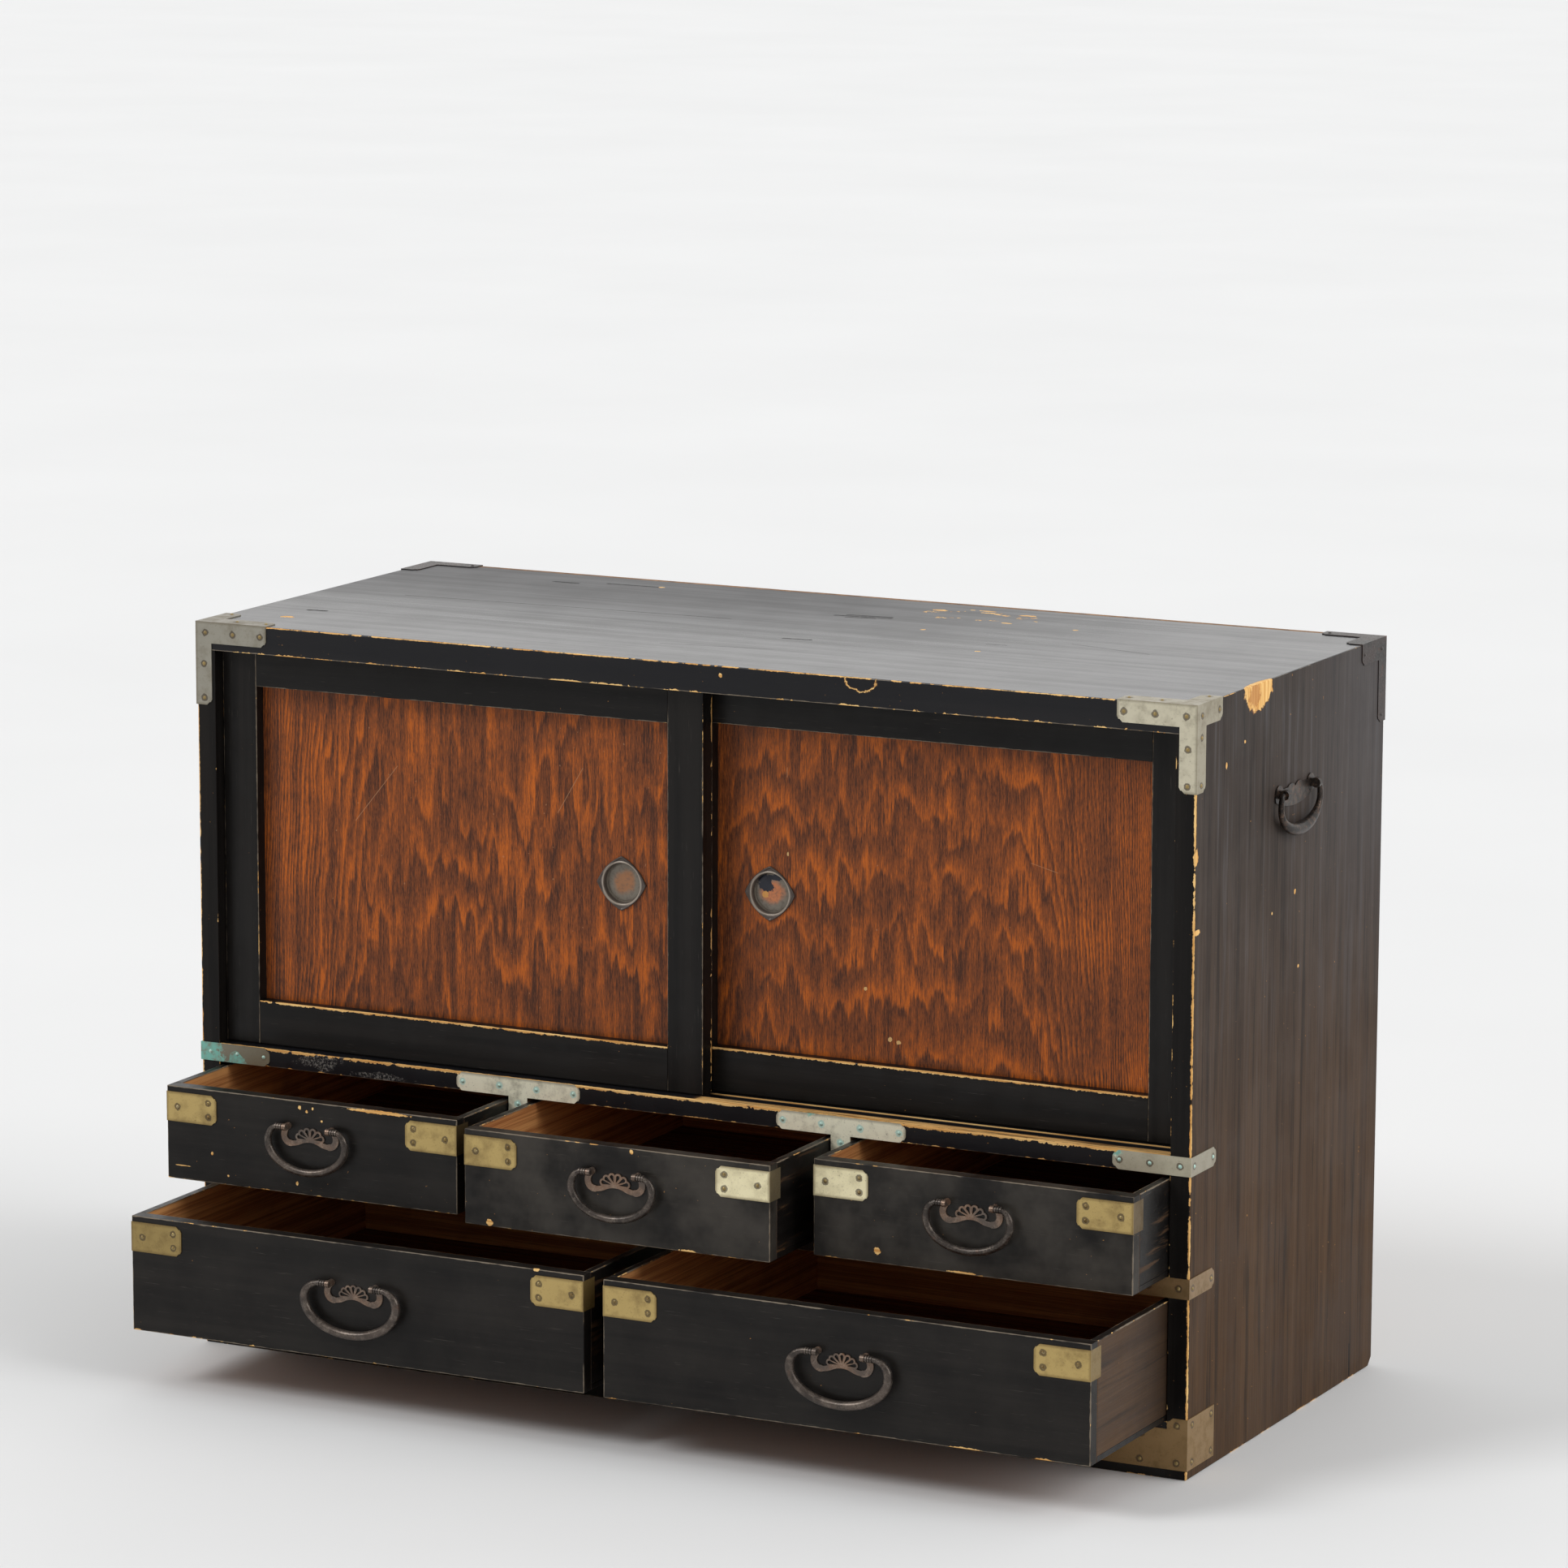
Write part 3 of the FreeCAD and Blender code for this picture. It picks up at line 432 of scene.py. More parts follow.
def side_coat(g, grain="z"):
    """The thinner, browner coat of the sides, with the board's grain showing through."""
    streaks = g.noise(grained(grain, 800, 16), 5, 0.6)
    fibre = g.noise(grained(grain, 110, 1.3), 3, 0.6)
    clouds = g.noise(95, 4, 0.6)
    share = g.rise(streaks * 0.4 + fibre * 0.4 + clouds * 0.2, 0.3, 0.7)
    brown = g.mix(share, SIDE_BROWN_DARK, SIDE_BROWN)
    grey = g.mix(share, SIDE_GREY_DARK, SIDE_GREY)
    # Painted sheen: the coat turns greyer towards the top and the back, with grey streaks there.
    colour = g.mix(g.rise(g.z + clouds * 300, 250, 760), brown, grey)
    bands = g.noise(grained(grain, 230, 9), 4, 0.65)
    sheen_upward = g.rise(g.z + clouds * 300, 300, 800)
    colour = g.mix(g.rise(bands, 0.47, 0.34) * 0.55, colour, BLACK)
    colour = g.mix(g.rise(bands, 0.52, 0.68) * (sheen_upward * 0.4 + 0.06), colour, SIDE_SHEEN_GREY)
    greyed = g.rise(g.y + clouds * 120, 20, 260) * g.rise(g.z, 260, 640)
    colour = g.mix(greyed * 0.45, colour, SIDE_SHEEN_GREY)
    marks = g.rise(g.noise(grained(grain, 18, 1), 2, 0.7), 0.66, 0.78)
    colour = g.mix(marks * 0.4, colour, DUST)
    pits = g.rise(g.noise(3, 1, 0.4), 0.8, 0.83)
    colour = g.mix(pits * 0.7, colour, BARE_DEEP)
    roughness = g.between(g.rise(clouds, 0.35, 0.65), 0.48, 0.62)
    return Coat(colour, roughness, fibre * 0.8 + streaks * 0.4)


def top_coat(g):
    """The polished top, with lengthwise wipe marks. Its grey is partly a dust film and partly painted sheen; painted
    sheen also makes it darker towards the back left and lighter towards the right end.
    """
    wipes = g.noise(grained("x", 500, 16), 5, 0.65)
    fibre = g.noise(grained("x", 140, 1.6), 3, 0.6)
    clouds = g.noise(70, 5, 0.65)
    share = g.rise(wipes * 0.5 + fibre * 0.25 + clouds * 0.25, 0.38, 0.62)
    colour = g.mix(share, TOP_DARK, TOP_LIGHT)
    dents = g.rise(g.noise(2.8, 1, 0.4), 0.79, 0.82)
    colour = g.mix(dents * 0.7, colour, BLACK)
    # Painted sheen: darker towards the back except at the right end, and lighter towards the right end; the roughness
    # rises with the same darkening.
    sheen_dim_back = g.rise(g.y, case_front, -case_front)
    sheen_right = g.rise(g.x, -100, case_side)
    colour = g.mix(sheen_dim_back * (1 - sheen_right) * 0.7, colour, TOP_DARK)
    colour = g.mix(sheen_right * 0.35, colour, TOP_LIGHT)
    roughness = g.between(share, 0.24, 0.17) + sheen_dim_back * (1 - sheen_right) * 0.22
    return Coat(colour, roughness, fibre * 0.35 + clouds * 0.25)


def wood_coat(g, grain, pale, deep):
    """Unpainted softwood with straight grain."""
    rings = g.noise(grained(grain, 1100, 7), 3, 0.55)
    fibre = g.noise(grained(grain, 90, 1.1), 3, 0.6)
    stain = g.noise(120, 4, 0.6)
    colour = g.mix(g.rise(rings * 0.55 + fibre * 0.45, 0.38, 0.62), pale, deep)
    colour = g.mix(g.rise(stain, 0.48, 0.74) * 0.5, colour, BARE_RIM)
    return Coat(colour, g.between(fibre, 0.6, 0.82), rings * 0.3 + fibre)


def lacquered(name, low, high, grain, edges, offset):
    """A black board of the front, worn along its arrises."""
    g = Graph(name, offset)
    coat = rubbed(g, black_coat(g, grain), low, high, edges)
    coat = worn(g, coat, bare_arrises(g, low, high, edges), grain)
    return g.finish(coat, LACQUER_RELIEF, specular=LACQUER_GLOSS)


# Case boards

MARK_REACH = 3  # half size of a mark across its face
GOUGE_REACH = 5
TOP_BARE = marks_on("z", case_top, MARK_REACH, [
    (70, 158, 7, 4), (108, 172, 9, 2), (152, 164, 8, 3), (152, 118, 5, 2), (221, 110, 2.5, 2), (104, 52, 2, 2),
    (-209, 163, 3, 2.5), (-415, -143, 7, 3.5), (95, 172, 3, 1.6), (196, -33, 3, 2)])
TOP_BARE += marks_on("y", case_front, MARK_REACH, [(40, case_top - 8, 1.6, 1.8)])
TOP_STROKES = lines_on("z", case_top, [
    (2, 90, 52, 95, 2.6), (10, 97, 50, 101, 2.2), (14, 84, 40, 88, 1.6), (-310, 149, -288, 149, 3),
    (-262, 160, -210, 162, 2.2), (-418, -100, -403, -98, 3), (20, -47, 44, -44, 2.2)])
TOP_SCRATCHES = lines_on("z", case_top, [
    (-388, 15, -70, 29, 0.8), (186, 5, 204, 7, 0.8), (-60, -120, 40, -104, 0.5), (250, 40, 330, 20, 0.5)])
TOP_PATCH = marks_on("z", case_top, MARK_REACH, [(113, 142, 52, 25)])
TOP_PATCH_INSIDE = marks_on("z", case_top, MARK_REACH + 1, [(113, 142, 46, 19)])
FRONT_CHIP = marks_on("y", case_front, MARK_REACH, [(170, case_top, 16, 13)])
FRONT_CHIP_INSIDE = marks_on("y", case_front, 2 * MARK_REACH, [(170, case_top, 14.6, 11.6)])
SIDE_GOUGE = marks_on("x", case_side, GOUGE_REACH, [(-76, case_top, 32, 24)])
SIDE_GOUGE_DEPTH = marks_on("x", case_side, GOUGE_REACH, [(-84, case_top - 8, 13, 13)])
SIDE_SPOTS = marks_on("x", case_side, MARK_REACH, [
    (-141, 584, 2, 3), (-103, 598, 1.6, 1.6), (9, 454, 2, 2.2), (-40, 444, 1.2, 1.2), (19, 389, 1.5, 1.5),
    (-197, 456, 7, 2.4), (-200, 518, 4, 7)])
SIDE_CRACK = lines_on("x", case_side, [(150, -5, 149, 31, 0.9)])

# How far behind the sill's front its bare lip ends, and the strip between its two tracks lies
SILL_LIP = 13
TRACK_STRIP = 27.5


def top_materials():
    """The top board's polished face and its duller black rest, with the same bare places on both."""
    low, high = box_of("top_board")
    edges = {"x-+": (1.4, 0.85), "x--": (1.6, 0.5), "y-+": (1, 0.5), "y++": (1, 0.5), "x++": (0.7, 0.3)}
    made = []
    for name, gloss in (("top_board", POLISHED_GLOSS), ("top_board_edges", BLUED_GLOSS)):
        g = Graph(name)
        if name == "top_board":
            coat = top_coat(g)
            scuffs = g.most(lines(g, TOP_STROKES, 0.9, 6), spots(g, TOP_PATCH, 0.8, 14) * 0.45,
                            lines(g, TOP_SCRATCHES))
            coat = tinted(g, coat, scuffs * 0.85, BLACK)._replace(roughness=g.most(coat.roughness, scuffs * 0.7))
        else:
            coat = rubbed(g, blued_coat(g), low, high, edges)
        outline = spots(g, TOP_PATCH, 0.8, 14) * (1 - spots(g, TOP_PATCH_INSIDE, 0.8, 14))
        outline = outline * g.rise(g.noise(17, 3, 0.6), 0.5, 0.56)
        chip = spots(g, FRONT_CHIP, 0.3) * (1 - spots(g, FRONT_CHIP_INSIDE, 0.3))
        bareness = g.most(bare_arrises(g, low, high, edges), spots(g, TOP_BARE, 1.2, 5), spots(g, SIDE_GOUGE, 0.25),
                          outline, chip)
        made.append(g.finish(worn(g, coat, bareness), LACQUER_RELIEF, specular=gloss))
    return made


def sill_material():
    """Black, with its front arris bare, and its lip bare in front of the door that stands further back."""
    low, high = box_of("door_sill")
    g = Graph("door_sill", (100, 0, low[2] * 7))
    edges = {"x-+": (3, 0.9), "x--": (1.4, 0.55)}
    coat = rubbed(g, blued_coat(g), low, high, edges)
    rows = [(-350, low[2] + 9, 22, 7), (-290, low[2] + 3, 30, 3)]
    scuffs = spots(g, marks_on("y", low[1], MARK_REACH, rows), 1.2, 9) * g.rise(g.noise(2.2, 4, 0.75), 0.46, 0.64)
    coat = tinted(g, coat, scuffs * 0.7, SCUFF)
    lip = g.rise(g.y, low[1] + SILL_LIP + 1, low[1] + SILL_LIP - 1) * g.rise(g.z, high[2] - 1, high[2] - 0.4)
    lip = lip * g.rise(g.x + g.noise(30) * 20, 20, 34)
    streaks = g.rise(g.noise((90, 1.6, 1.6), 3, 0.6), 0.6, 0.46)
    track = g.rise(abs(g.y - (low[1] + TRACK_STRIP)), 1.2, 0.5) * g.rise(g.z, high[2] - 1.2, high[2] - 0.6)
    bareness = g.most(bare_arrises(g, low, high, edges), lip * (streaks * 0.6 + 0.4),
                      track * g.rise(g.x, 10, 24) * 0.9)
    return g.finish(worn(g, coat, bareness), LACQUER_RELIEF, specular=BLUED_GLOSS)


def side_material(side, sign):
    """A side board, brown outside and black elsewhere; the right one has the gouge, the crack and the spots."""
    name = "side_board_" + side
    low, high = box_of(name)
    g = Graph(name)
    outer = at_face(g, "x", sign * case_side, sign)
    coat = over(g, outer, black_coat(g, "z"), side_coat(g))
    outward, inward = ("+", "-") if sign > 0 else ("-", "+")
    edges = {"z" + outward + "-": (2, 0.95), "z" + inward + "-": (0.9, 0.4), "z" + outward + "+": (1, 0.4),
             "y" + outward + "-": (1.6, 0.5)}
    bareness = bare_arrises(g, low, high, edges)
    if sign > 0:
        bareness = g.most(bareness, spots(g, SIDE_GOUGE, 0.25), spots(g, SIDE_SPOTS, 0.7, 3))
        crack = lines(g, SIDE_CRACK)
        coat = Coat(g.mix(crack, coat.colour, BLACK), coat.roughness, coat.height - crack)
    coat = worn(g, coat, bareness, "z")
    if sign > 0:
        depth = spots(g, SIDE_GOUGE_DEPTH, 1.1, 6) * 0.6
        coat = Coat(g.mix(depth, coat.colour, INSIDE_DEEP), coat.roughness, coat.height - depth)
    return g.finish(coat, SIDE_RELIEF, specular=SIDE_GLOSS)


# Door panels

Figure = namedtuple("Figure", "middle flat_left flat_right spacing tooth jag rounded sway streak")
LEFT_FIGURE = Figure(middle=-190, flat_left=115, flat_right=210, spacing=74, tooth=13, jag=120,
                     rounded=False, sway=30, streak=0.8)
RIGHT_FIGURE = Figure(middle=205, flat_left=160, flat_right=100, spacing=50, tooth=24, jag=60,
                      rounded=True, sway=40, streak=0.5)

# Rows for lines_on() and marks_on() on the panels' faces
LEFT_SCRATCHES = [(-326, 476, -284, 527, 0.4), (-127, 500, -103, 540, 0.4)]
RIGHT_SCRATCHES = [(306, 492, 330, 486, 0.3), (81, 545, 81, 553, 0.4)]
RIGHT_MARKS = [(155, 372, 1.6, 1.6), (82, 480, 1, 2), (178, 331, 2, 2.4), (186, 329, 2.4, 1.8)]
PANEL_MARK_REACH = 4

FLAT = 1e5  # a feature size that leaves an axis out of a noise


def figured_panel(name, figure, scratches, marks, offset):
    """Clear amber lacquer over a plain-sawn board: jagged rings in the middle, straight lines at the sides.
    Each growth ring is dark under its upper boundary and glows above its lower one."""
    g = Graph(name, offset)
    face = box_of(name)[0][1]
    teeth = g.noise((figure.tooth, FLAT, 110), 1.5, 0.4) * 2 - 1
    if figure.rounded:
        teeth = abs(teeth) * 1.6
    sway = g.noise((95, FLAT, 300), 2, 0.5) * 2 - 1
    nicks = g.noise((7, FLAT, 40), 3, 0.6) * 2 - 1
    fibres = g.noise((1.9, FLAT, 55), 2, 0.6) * 2 - 1
    drift = g.noise((110, FLAT, 75), 2, 0.5) - 0.5
    left = g.most(figure.middle - figure.flat_left - g.x, 0)
    right = g.most(g.x - figure.middle - figure.flat_right, 0)
    steep = (left * left + right * right) * 0.13
    height = g.z + steep - teeth * figure.jag - sway * figure.sway - nicks * 11 - fibres * 20
    height = height + drift * figure.spacing
    phase = g.math("FRACT", height / figure.spacing)
    glow = g.rise(phase, 0.45, 0.08) * g.rise(phase, -0.02, 0.1)
    shadow = g.rise(phase, 0.35, 0.85) * g.rise(phase, 1.02, 0.9)
    clouds = g.noise((55, FLAT, 70), 3, 0.5)
    rings = (glow * 0.16 - shadow * 0.18) * g.rise(clouds, 0.26, 0.6)
    pores = g.noise((0.8, FLAT, 9), 2, 0.8)
    threads = g.noise((1.7, FLAT, 70), 3, 0.6)
    streaks = g.noise((11, FLAT, 190), 3, 0.55)
    share = rings + streaks * figure.streak + threads * 0.6 + pores * 1.2 + clouds * 0.6
    share = share + (0.52 - (figure.streak + 0.6 + 1.2 + 0.6) / 2)
    colour = g.mix(g.rise(share, 0.2, 0.55), PANEL_DARK, PANEL_MID)
    colour = g.mix(g.rise(share, 0.46, 0.9), colour, PANEL_BRIGHT)
    colour = g.mix(g.rise(pores, 0.6, 0.72) * 0.4, colour, PANEL_DARK)
    dust = g.rise(g.noise(3.4, 1, 0.3), 0.8, 0.82)
    colour = g.mix(dust * 0.5, colour, PANEL_SCRATCH)
    colour = g.mix(lines(g, lines_on("y", face, scratches)) * 0.6, colour, PANEL_SCRATCH)
    if marks:
        colour = g.mix(spots(g, marks_on("y", face, PANEL_MARK_REACH, marks), 0.9, 4) * 0.6, colour, BARE_PALE)
    roughness = g.between(g.noise(30, 4, 0.6), 0.3, 0.44)
    relief = threads * 0.5 - g.rise(pores, 0.5, 0.7) * 0.7
    return g.finish(Coat(colour, roughness, relief), LACQUER_RELIEF, specular=PANEL_GLOSS)


# Metals

# How metallic each kind is; what has oxidised through hardly reflects
IRON_METALLIC = 0.65
TINNED_METALLIC = 0.5
PLATE_METALLIC = 0.45
PULL_METALLIC = 0.3
RAIL_STRAP_METALLIC = 0.3
NAIL_METALLIC = 0.15
GREEN_STRAP_METALLIC = 0.1
SILL_STRAP_METALLIC = 0

PLATE_BEND = (0.6, 1.2)  # where the painted shade on a plate's leg round the corner begins, and is full, behind its front
NAIL_HALO = (3.4, 3.4, 3.4)

# Door pulls: half widths of the outline at its corners and at the middles of its arcs, and the rim's height
PULL_HALF = 23.5
PULL_BULGE = 19.8
PULL_RIM_HEIGHT = 1.7
PULL_CUP = 17.2
PULL_RIDGE = 18.3
CUP_PLANE = -170
CUP_REACH = 60


def rim_grime(g, low, high):
    """1 along the outline of a thin plate, fading to 0 inward; the plate's thin axis is left out."""
    spans = [high[number] - low[number] for number in range(3)]
    distance = 100
    for number in range(3):
        if spans[number] > min(spans) + 0.5:
            distance = g.least(distance, g.least(g.along[number] - low[number], high[number] - g.along[number]))
    return g.rise(distance, 3, 0)


def sheet_coat(g, face, stain, soil=0.75):
    """Old sheet metal: blotched, finely scratched and dirty along its outline."""
    blotch = g.noise(12, 5, 0.65)
    cloud = g.noise(48, 3, 0.5)
    specks = g.noise(1.5, 3, 0.6)
    brushed = g.noise(grained("x", 26, 0.8), 2, 0.7)
    share = g.rise(blotch * 0.6 + cloud * 0.4, 0.44, 0.68)
    colour = g.mix(share * soil, face, stain)
    colour = g.mix(g.rise(specks, 0.6, 0.74) * 0.5, colour, stain)
    roughness = g.between(g.rise(blotch, 0.35, 0.7), 0.3, 0.5)
    return Coat(colour, roughness, blotch * 0.7 + brushed * 0.25)


def plate_metal(name, low, high, face, stain, metallic=PLATE_METALLIC, soil=0.7, green=0, green_spots=(), nails=(),
                halo=HALO, fall=0, offset=(0, 0, 0)):
    """A plate with grime at its rim and round its nails and, where asked, a crust of verdigris: patchy, or in
    single places. Where asked, painted shade darkens its leg round the corner."""
    g = Graph(name, offset)
    coat = sheet_coat(g, face, stain, soil)
    colour = g.mix(rim_grime(g, low, high) * 0.6, coat.colour, stain)
    halos = [(nail, NAIL_HALO) for nail in nails
             if all(low[axis] - 3 < nail[axis] < high[axis] + 3 for axis in range(3))]
    if halos:
        colour = g.mix(spots(g, halos, 0.5, 4) * 0.75, colour, halo)
    # Painted shade on the plate's leg round the corner
    if fall:
        colour = g.mix(g.rise(g.y, low[1] + PLATE_BEND[0], low[1] + PLATE_BEND[1]) * fall, colour, HALO)
    roughness = coat.roughness
    if green or green_spots:
        crust = g.rise(g.noise(22, 5, 0.6), 0.7 - 0.28 * green, 0.76 - 0.28 * green)
        if green_spots:
            crust = g.most(crust, spots(g, green_spots, 1.1, 12))
        tint = g.mix(g.rise(g.noise(6, 4, 0.7), 0.42, 0.72), VERDIGRIS, face)
        colour = g.mix(crust, colour, tint)
        metallic = (1 - crust) * metallic
        roughness = g.most(roughness, crust * 0.8)
    return g.finish(Coat(colour, roughness, coat.height), METAL_RELIEF, metallic=metallic)


def forged_iron(name, dark=IRON_DARK, brown=IRON_BROWN, worn_tone=IRON_WORN, shine=0.5, depth=METAL_RELIEF, rust=0.2,
                offset=(0, 0, 0)):
    """Forged iron, browned, with patches of rust and of a worn tone; on the side handles these patches are partly
    painted highlights.
    """
    g = Graph(name, offset)
    hammer = g.noise(6, 2, 0.5)
    pits = g.noise(1.4, 4, 0.65)
    cloud = g.noise(24, 4, 0.6)
    colour = g.mix(g.rise(cloud, 0.35, 0.65), dark, brown)
    colour = g.mix(g.rise(g.noise(9, 4, 0.6), 0.58, 0.72) * rust, colour, RUST)
    colour = g.mix(g.rise(pits * 0.6 + hammer * 0.4, 0.46, 0.68) * shine, colour, worn_tone)
    roughness = g.between(g.rise(pits, 0.3, 0.7), 0.26, 0.48)
    return g.finish(Coat(colour, roughness, hammer * 0.8 + pits * 0.35), depth, metallic=IRON_METALLIC)


def pull_metal(side, middle_x, middle_z):
    """The rim and cup of a door pull: greyed outside, browned or coppered in the cup."""
    name = "door_%s_pull" % side
    g = Graph(name, (middle_x * 9, 0, 0))
    coat = sheet_coat(g, PULL_GREY, IRON_DARK)
    away = g.vector("SUBTRACT", g.place, (middle_x, 0, middle_z))
    across = g.size(g.vector("MULTIPLY", away, (1, 0, 1)))
    cup = g.rise(across, PULL_CUP, PULL_CUP - 0.8)
    bloom = g.rise(across + g.noise(10) * 8, 17, 11)
    floor = g.mix(bloom, CUP_GREY, COPPER if side == "right" else CUP_RUST)
    floor = g.mix(g.rise(g.noise(3, 5, 0.7), 0.45, 0.7) * 0.6, floor, IRON_BROWN)
    if side == "right":
        # Painted shadow of the rim: a dark bluish patch at the top left of the cup
        rows = [(middle_x - 6, middle_z + 7, 8, 8), (middle_x + 2, middle_z + 13, 9, 3)]
        floor = g.mix(spots(g, marks_on("y", CUP_PLANE, CUP_REACH, rows), 0.8), floor, CUP_SHADOW_BLUE)
        rows = [(middle_x - 7, middle_z - 2, 3.4, 3)]
        floor = g.mix(spots(g, marks_on("y", CUP_PLANE, CUP_REACH, rows), 0.7, 4), floor, BARE_DEEP)
    colour = g.mix(cup, coat.colour, floor)
    # Rubbed wear and painted highlight: the bead's ridge is lightened all round
    ridge = g.rise(abs(across - PULL_RIDGE), 1.3, 0.3) * 0.75
    colour = g.mix(ridge, colour, IRON_WORN)
    return g.finish(coat._replace(colour=colour), METAL_RELIEF, metallic=PULL_METALLIC)


# Pieces

FACE_REACH = 0.3  # how far inside a mesh's outermost point the middle of an outermost face may lie
SHARP_ANGLE = 30
NAIL_LIMIT = 10  # a solid as high as this, or higher, is a plate and no nail


def body_of_node(name):
    return nodes[name]["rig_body"]


def box_of(name):
    return tuple(tuple(value / MM for value in corner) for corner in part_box(name))


def paint(name, material, **ends):
    """Gives a CAD node a finished material, and its outermost faces (left, right or top) another one if asked."""
    mesh = nodes[name].data
    mesh.materials.clear()
    mesh.materials.append(material)
    for number, (end, other) in enumerate(ends.items()):
        axis, side = {"left": (0, -1), "right": (0, 1), "top": (2, 1)}[end]
        reach = max(point.co[axis] * side for point in mesh.vertices)
        mesh.materials.append(other)
        for polygon in mesh.polygons:
            if polygon.center[axis] * side > reach - FACE_REACH * MM:
                polygon.material_index = number + 1


def solids_of(name):
    """The separate solids of a CAD node, each as a list of points and a list of faces.
    Faces come solid by solid, and a solid is whole once each of its edges has met its twin."""
    mesh = nodes[name].data
    keys = [tuple(round(value / MM, 3) for value in point.co) for point in mesh.vertices]
    single_edges, number, points, faces = set(), {}, [], []
    for polygon in mesh.polygons:
        corners = [keys[index] for index in polygon.vertices]
        for first, second in zip(corners, corners[1:] + corners[:1]):
            if first != second:
                single_edges ^= {frozenset((first, second))}
        for index, corner in zip(polygon.vertices, corners):
            if corner not in number:
                number[corner] = len(points)
                points.append(mesh.vertices[index].co.copy())
        face = [number[corner] for corner in corners]
        if len(set(face)) == len(face):
            faces.append(face)
        if not single_edges:
            yield points, faces
            number, points, faces = {}, [], []


def add_object(name, data):
    made = bpy.data.objects.new(name, data)
    bpy.context.scene.collection.objects.link(made)
    return made


def piece(name, points, faces, material, replaced, sharp_angle=SHARP_ANGLE):
    """A new mesh that stands for a CAD node, or for one of its solids."""
    mesh = bpy.data.meshes.new(name)
    mesh.from_pydata(points, [], faces)
    mesh.materials.append(material)
    for polygon in mesh.polygons:
        polygon.use_smooth = True
    mesh.set_sharp_from_angle(angle=math.radians(sharp_angle))
    mesh.update()
    made = add_object(name, mesh)
    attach(made, body_of_node(replaced))
    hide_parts(replaced)
    return made


def corners_of(points):
    """The two corners of the box round some points."""
    return tuple(tuple(choose(point[axis] for point in points) / MM for axis in range(3)) for choose in (min, max))


def in_parts(name, dress):
    """Splits a CAD node into its solids; dress gives each one's name and material from its two corners."""
    for points, faces in solids_of(name):
        label, material = dress(*corners_of(points))
        piece(label, points, faces, material, name)


def nail_middles(name):
    """The middles of those solids of a CAD node that are low enough to be nails."""
    for points, _ in solids_of(name):
        low, high = corners_of(points)
        if high[2] - low[2] < NAIL_LIMIT:
            yield tuple((a + b) / 2 for a, b in zip(low, high))


# Case

def dress_case():
    left_coat, right_coat = side_material("left", -1), side_material("right", 1)
    polished, black = top_materials()
    paint("top_board", black, top=polished, left=left_coat, right=right_coat)
    paint("side_board_left", left_coat, top=polished)
    paint("side_board_right", right_coat, top=polished)
    paint("door_sill", sill_material())
    for name, edges in (("bottom_rail", {"x--": (1.4, 0.4), "x-+": (1, 0.5)}),
                        ("middle_rail", {"x--": (0.9, 0.4), "x-+": (0.9, 0.5)})):
        low, high = box_of(name)
        paint(name, lacquered(name, low, high, "x", edges, (100, 0, low[2] * 7)))
    for name in ("bottom_board", "base_battens", "dust_board", "cupboard_floor", "back_boards"):
        g = Graph(name, (0, 400, box_of(name)[0][2] * 3))
        coat = wood_coat(g, "z" if name == "back_boards" else "x", RAW_PALE, RAW_DEEP)
        paint(name, g.finish(coat, WOOD_RELIEF, specular=RAW_GLOSS))
    for name in ("lower_divider", "upper_dividers"):
        low, high = box_of(name)
        g = Graph(name, (0, 400, low[2] * 3))
        coat = over(g, at_face(g, "y", low[1], -1), wood_coat(g, "y", RAW_PALE, RAW_DEEP), black_coat(g, "z"))
        coat = worn(g, coat, bare_arrises(g, low, high, {"z--": (0.8, 0.4), "z+-": (0.8, 0.4)}), "z")
        paint(name, g.finish(coat, WOOD_RELIEF, specular=INSIDE_GLOSS))


# Doors

# The pull's section: inset from its outline and height; then radius and height; then radius and share of the depth
PULL_RIM = [(0, 0), (0, 1.1), (0.35, 1.55), (0.8, 1.7), (1.3, 1.55), (1.8, 1), (2.4, 0.75)]
PULL_BEAD = [(19.1, 0.7), (18.7, 1), (18.2, 1.15), (17.7, 0.9), (17.4, 0.3)]
PULL_HOLLOW = [(17.1, 0.45), (16.8, 0.68), (16.1, 0.84), (15.2, 0.8), (14, 0.82), (8, 0.79), (3, 0.78)]
PULL_STEPS = 160
PULL_SHARP_ANGLE = 45


def door_member(side, low, high):
    """The name and finish of one member of a door's frame."""
    middle = (low[0] + high[0]) / 2
    if high[2] - low[2] > high[0] - low[0]:
        inner = middle > 0 if side == "left" else middle < 0
        label = "door_%s_stile_%s" % (side, "inner" if inner else "outer")
        edges = {"z--": (0.7, 0.4), "z+-": (0.7, 0.4)}
        if side == "right" and inner:
            edges["z--"] = (1.6, 0.85)
        if side == "left" and inner:
            edges["z++"] = (3.2, 0.5)
        grain = "z"
    else:
        door_low, door_high = box_of("door_%s_frame" % side)
        bottom = low[2] < (door_low[2] + door_high[2]) / 2
        label = "door_%s_rail_%s" % (side, "bottom" if bottom else "top")
        edges = {"x-+": (2.3, 1), "x--": (0.8, 0.3)} if bottom else {"x--": (0.6, 0.3)}
        grain = "x"
    return label, lacquered(label, low, high, grain, edges, (low[0] * 3, 200, low[2] * 5))


def pull_radius(angle, inset):
    """The half width, in that direction, of the pull's outline of four outward arcs."""
    half, bulge = PULL_HALF - inset, PULL_BULGE - inset
    corner = math.radians(45)
    turned = (angle + corner) % (2 * corner) - corner
    chord = half * math.sqrt(0.5)
    rise = bulge - chord
    radius = (chord ** 2 + rise ** 2) / (2 * rise)
    middle = bulge - radius
    away = corner - abs(turned)
    return middle * math.cos(away) + math.sqrt(max(radius ** 2 - (middle * math.sin(away)) ** 2, 0))


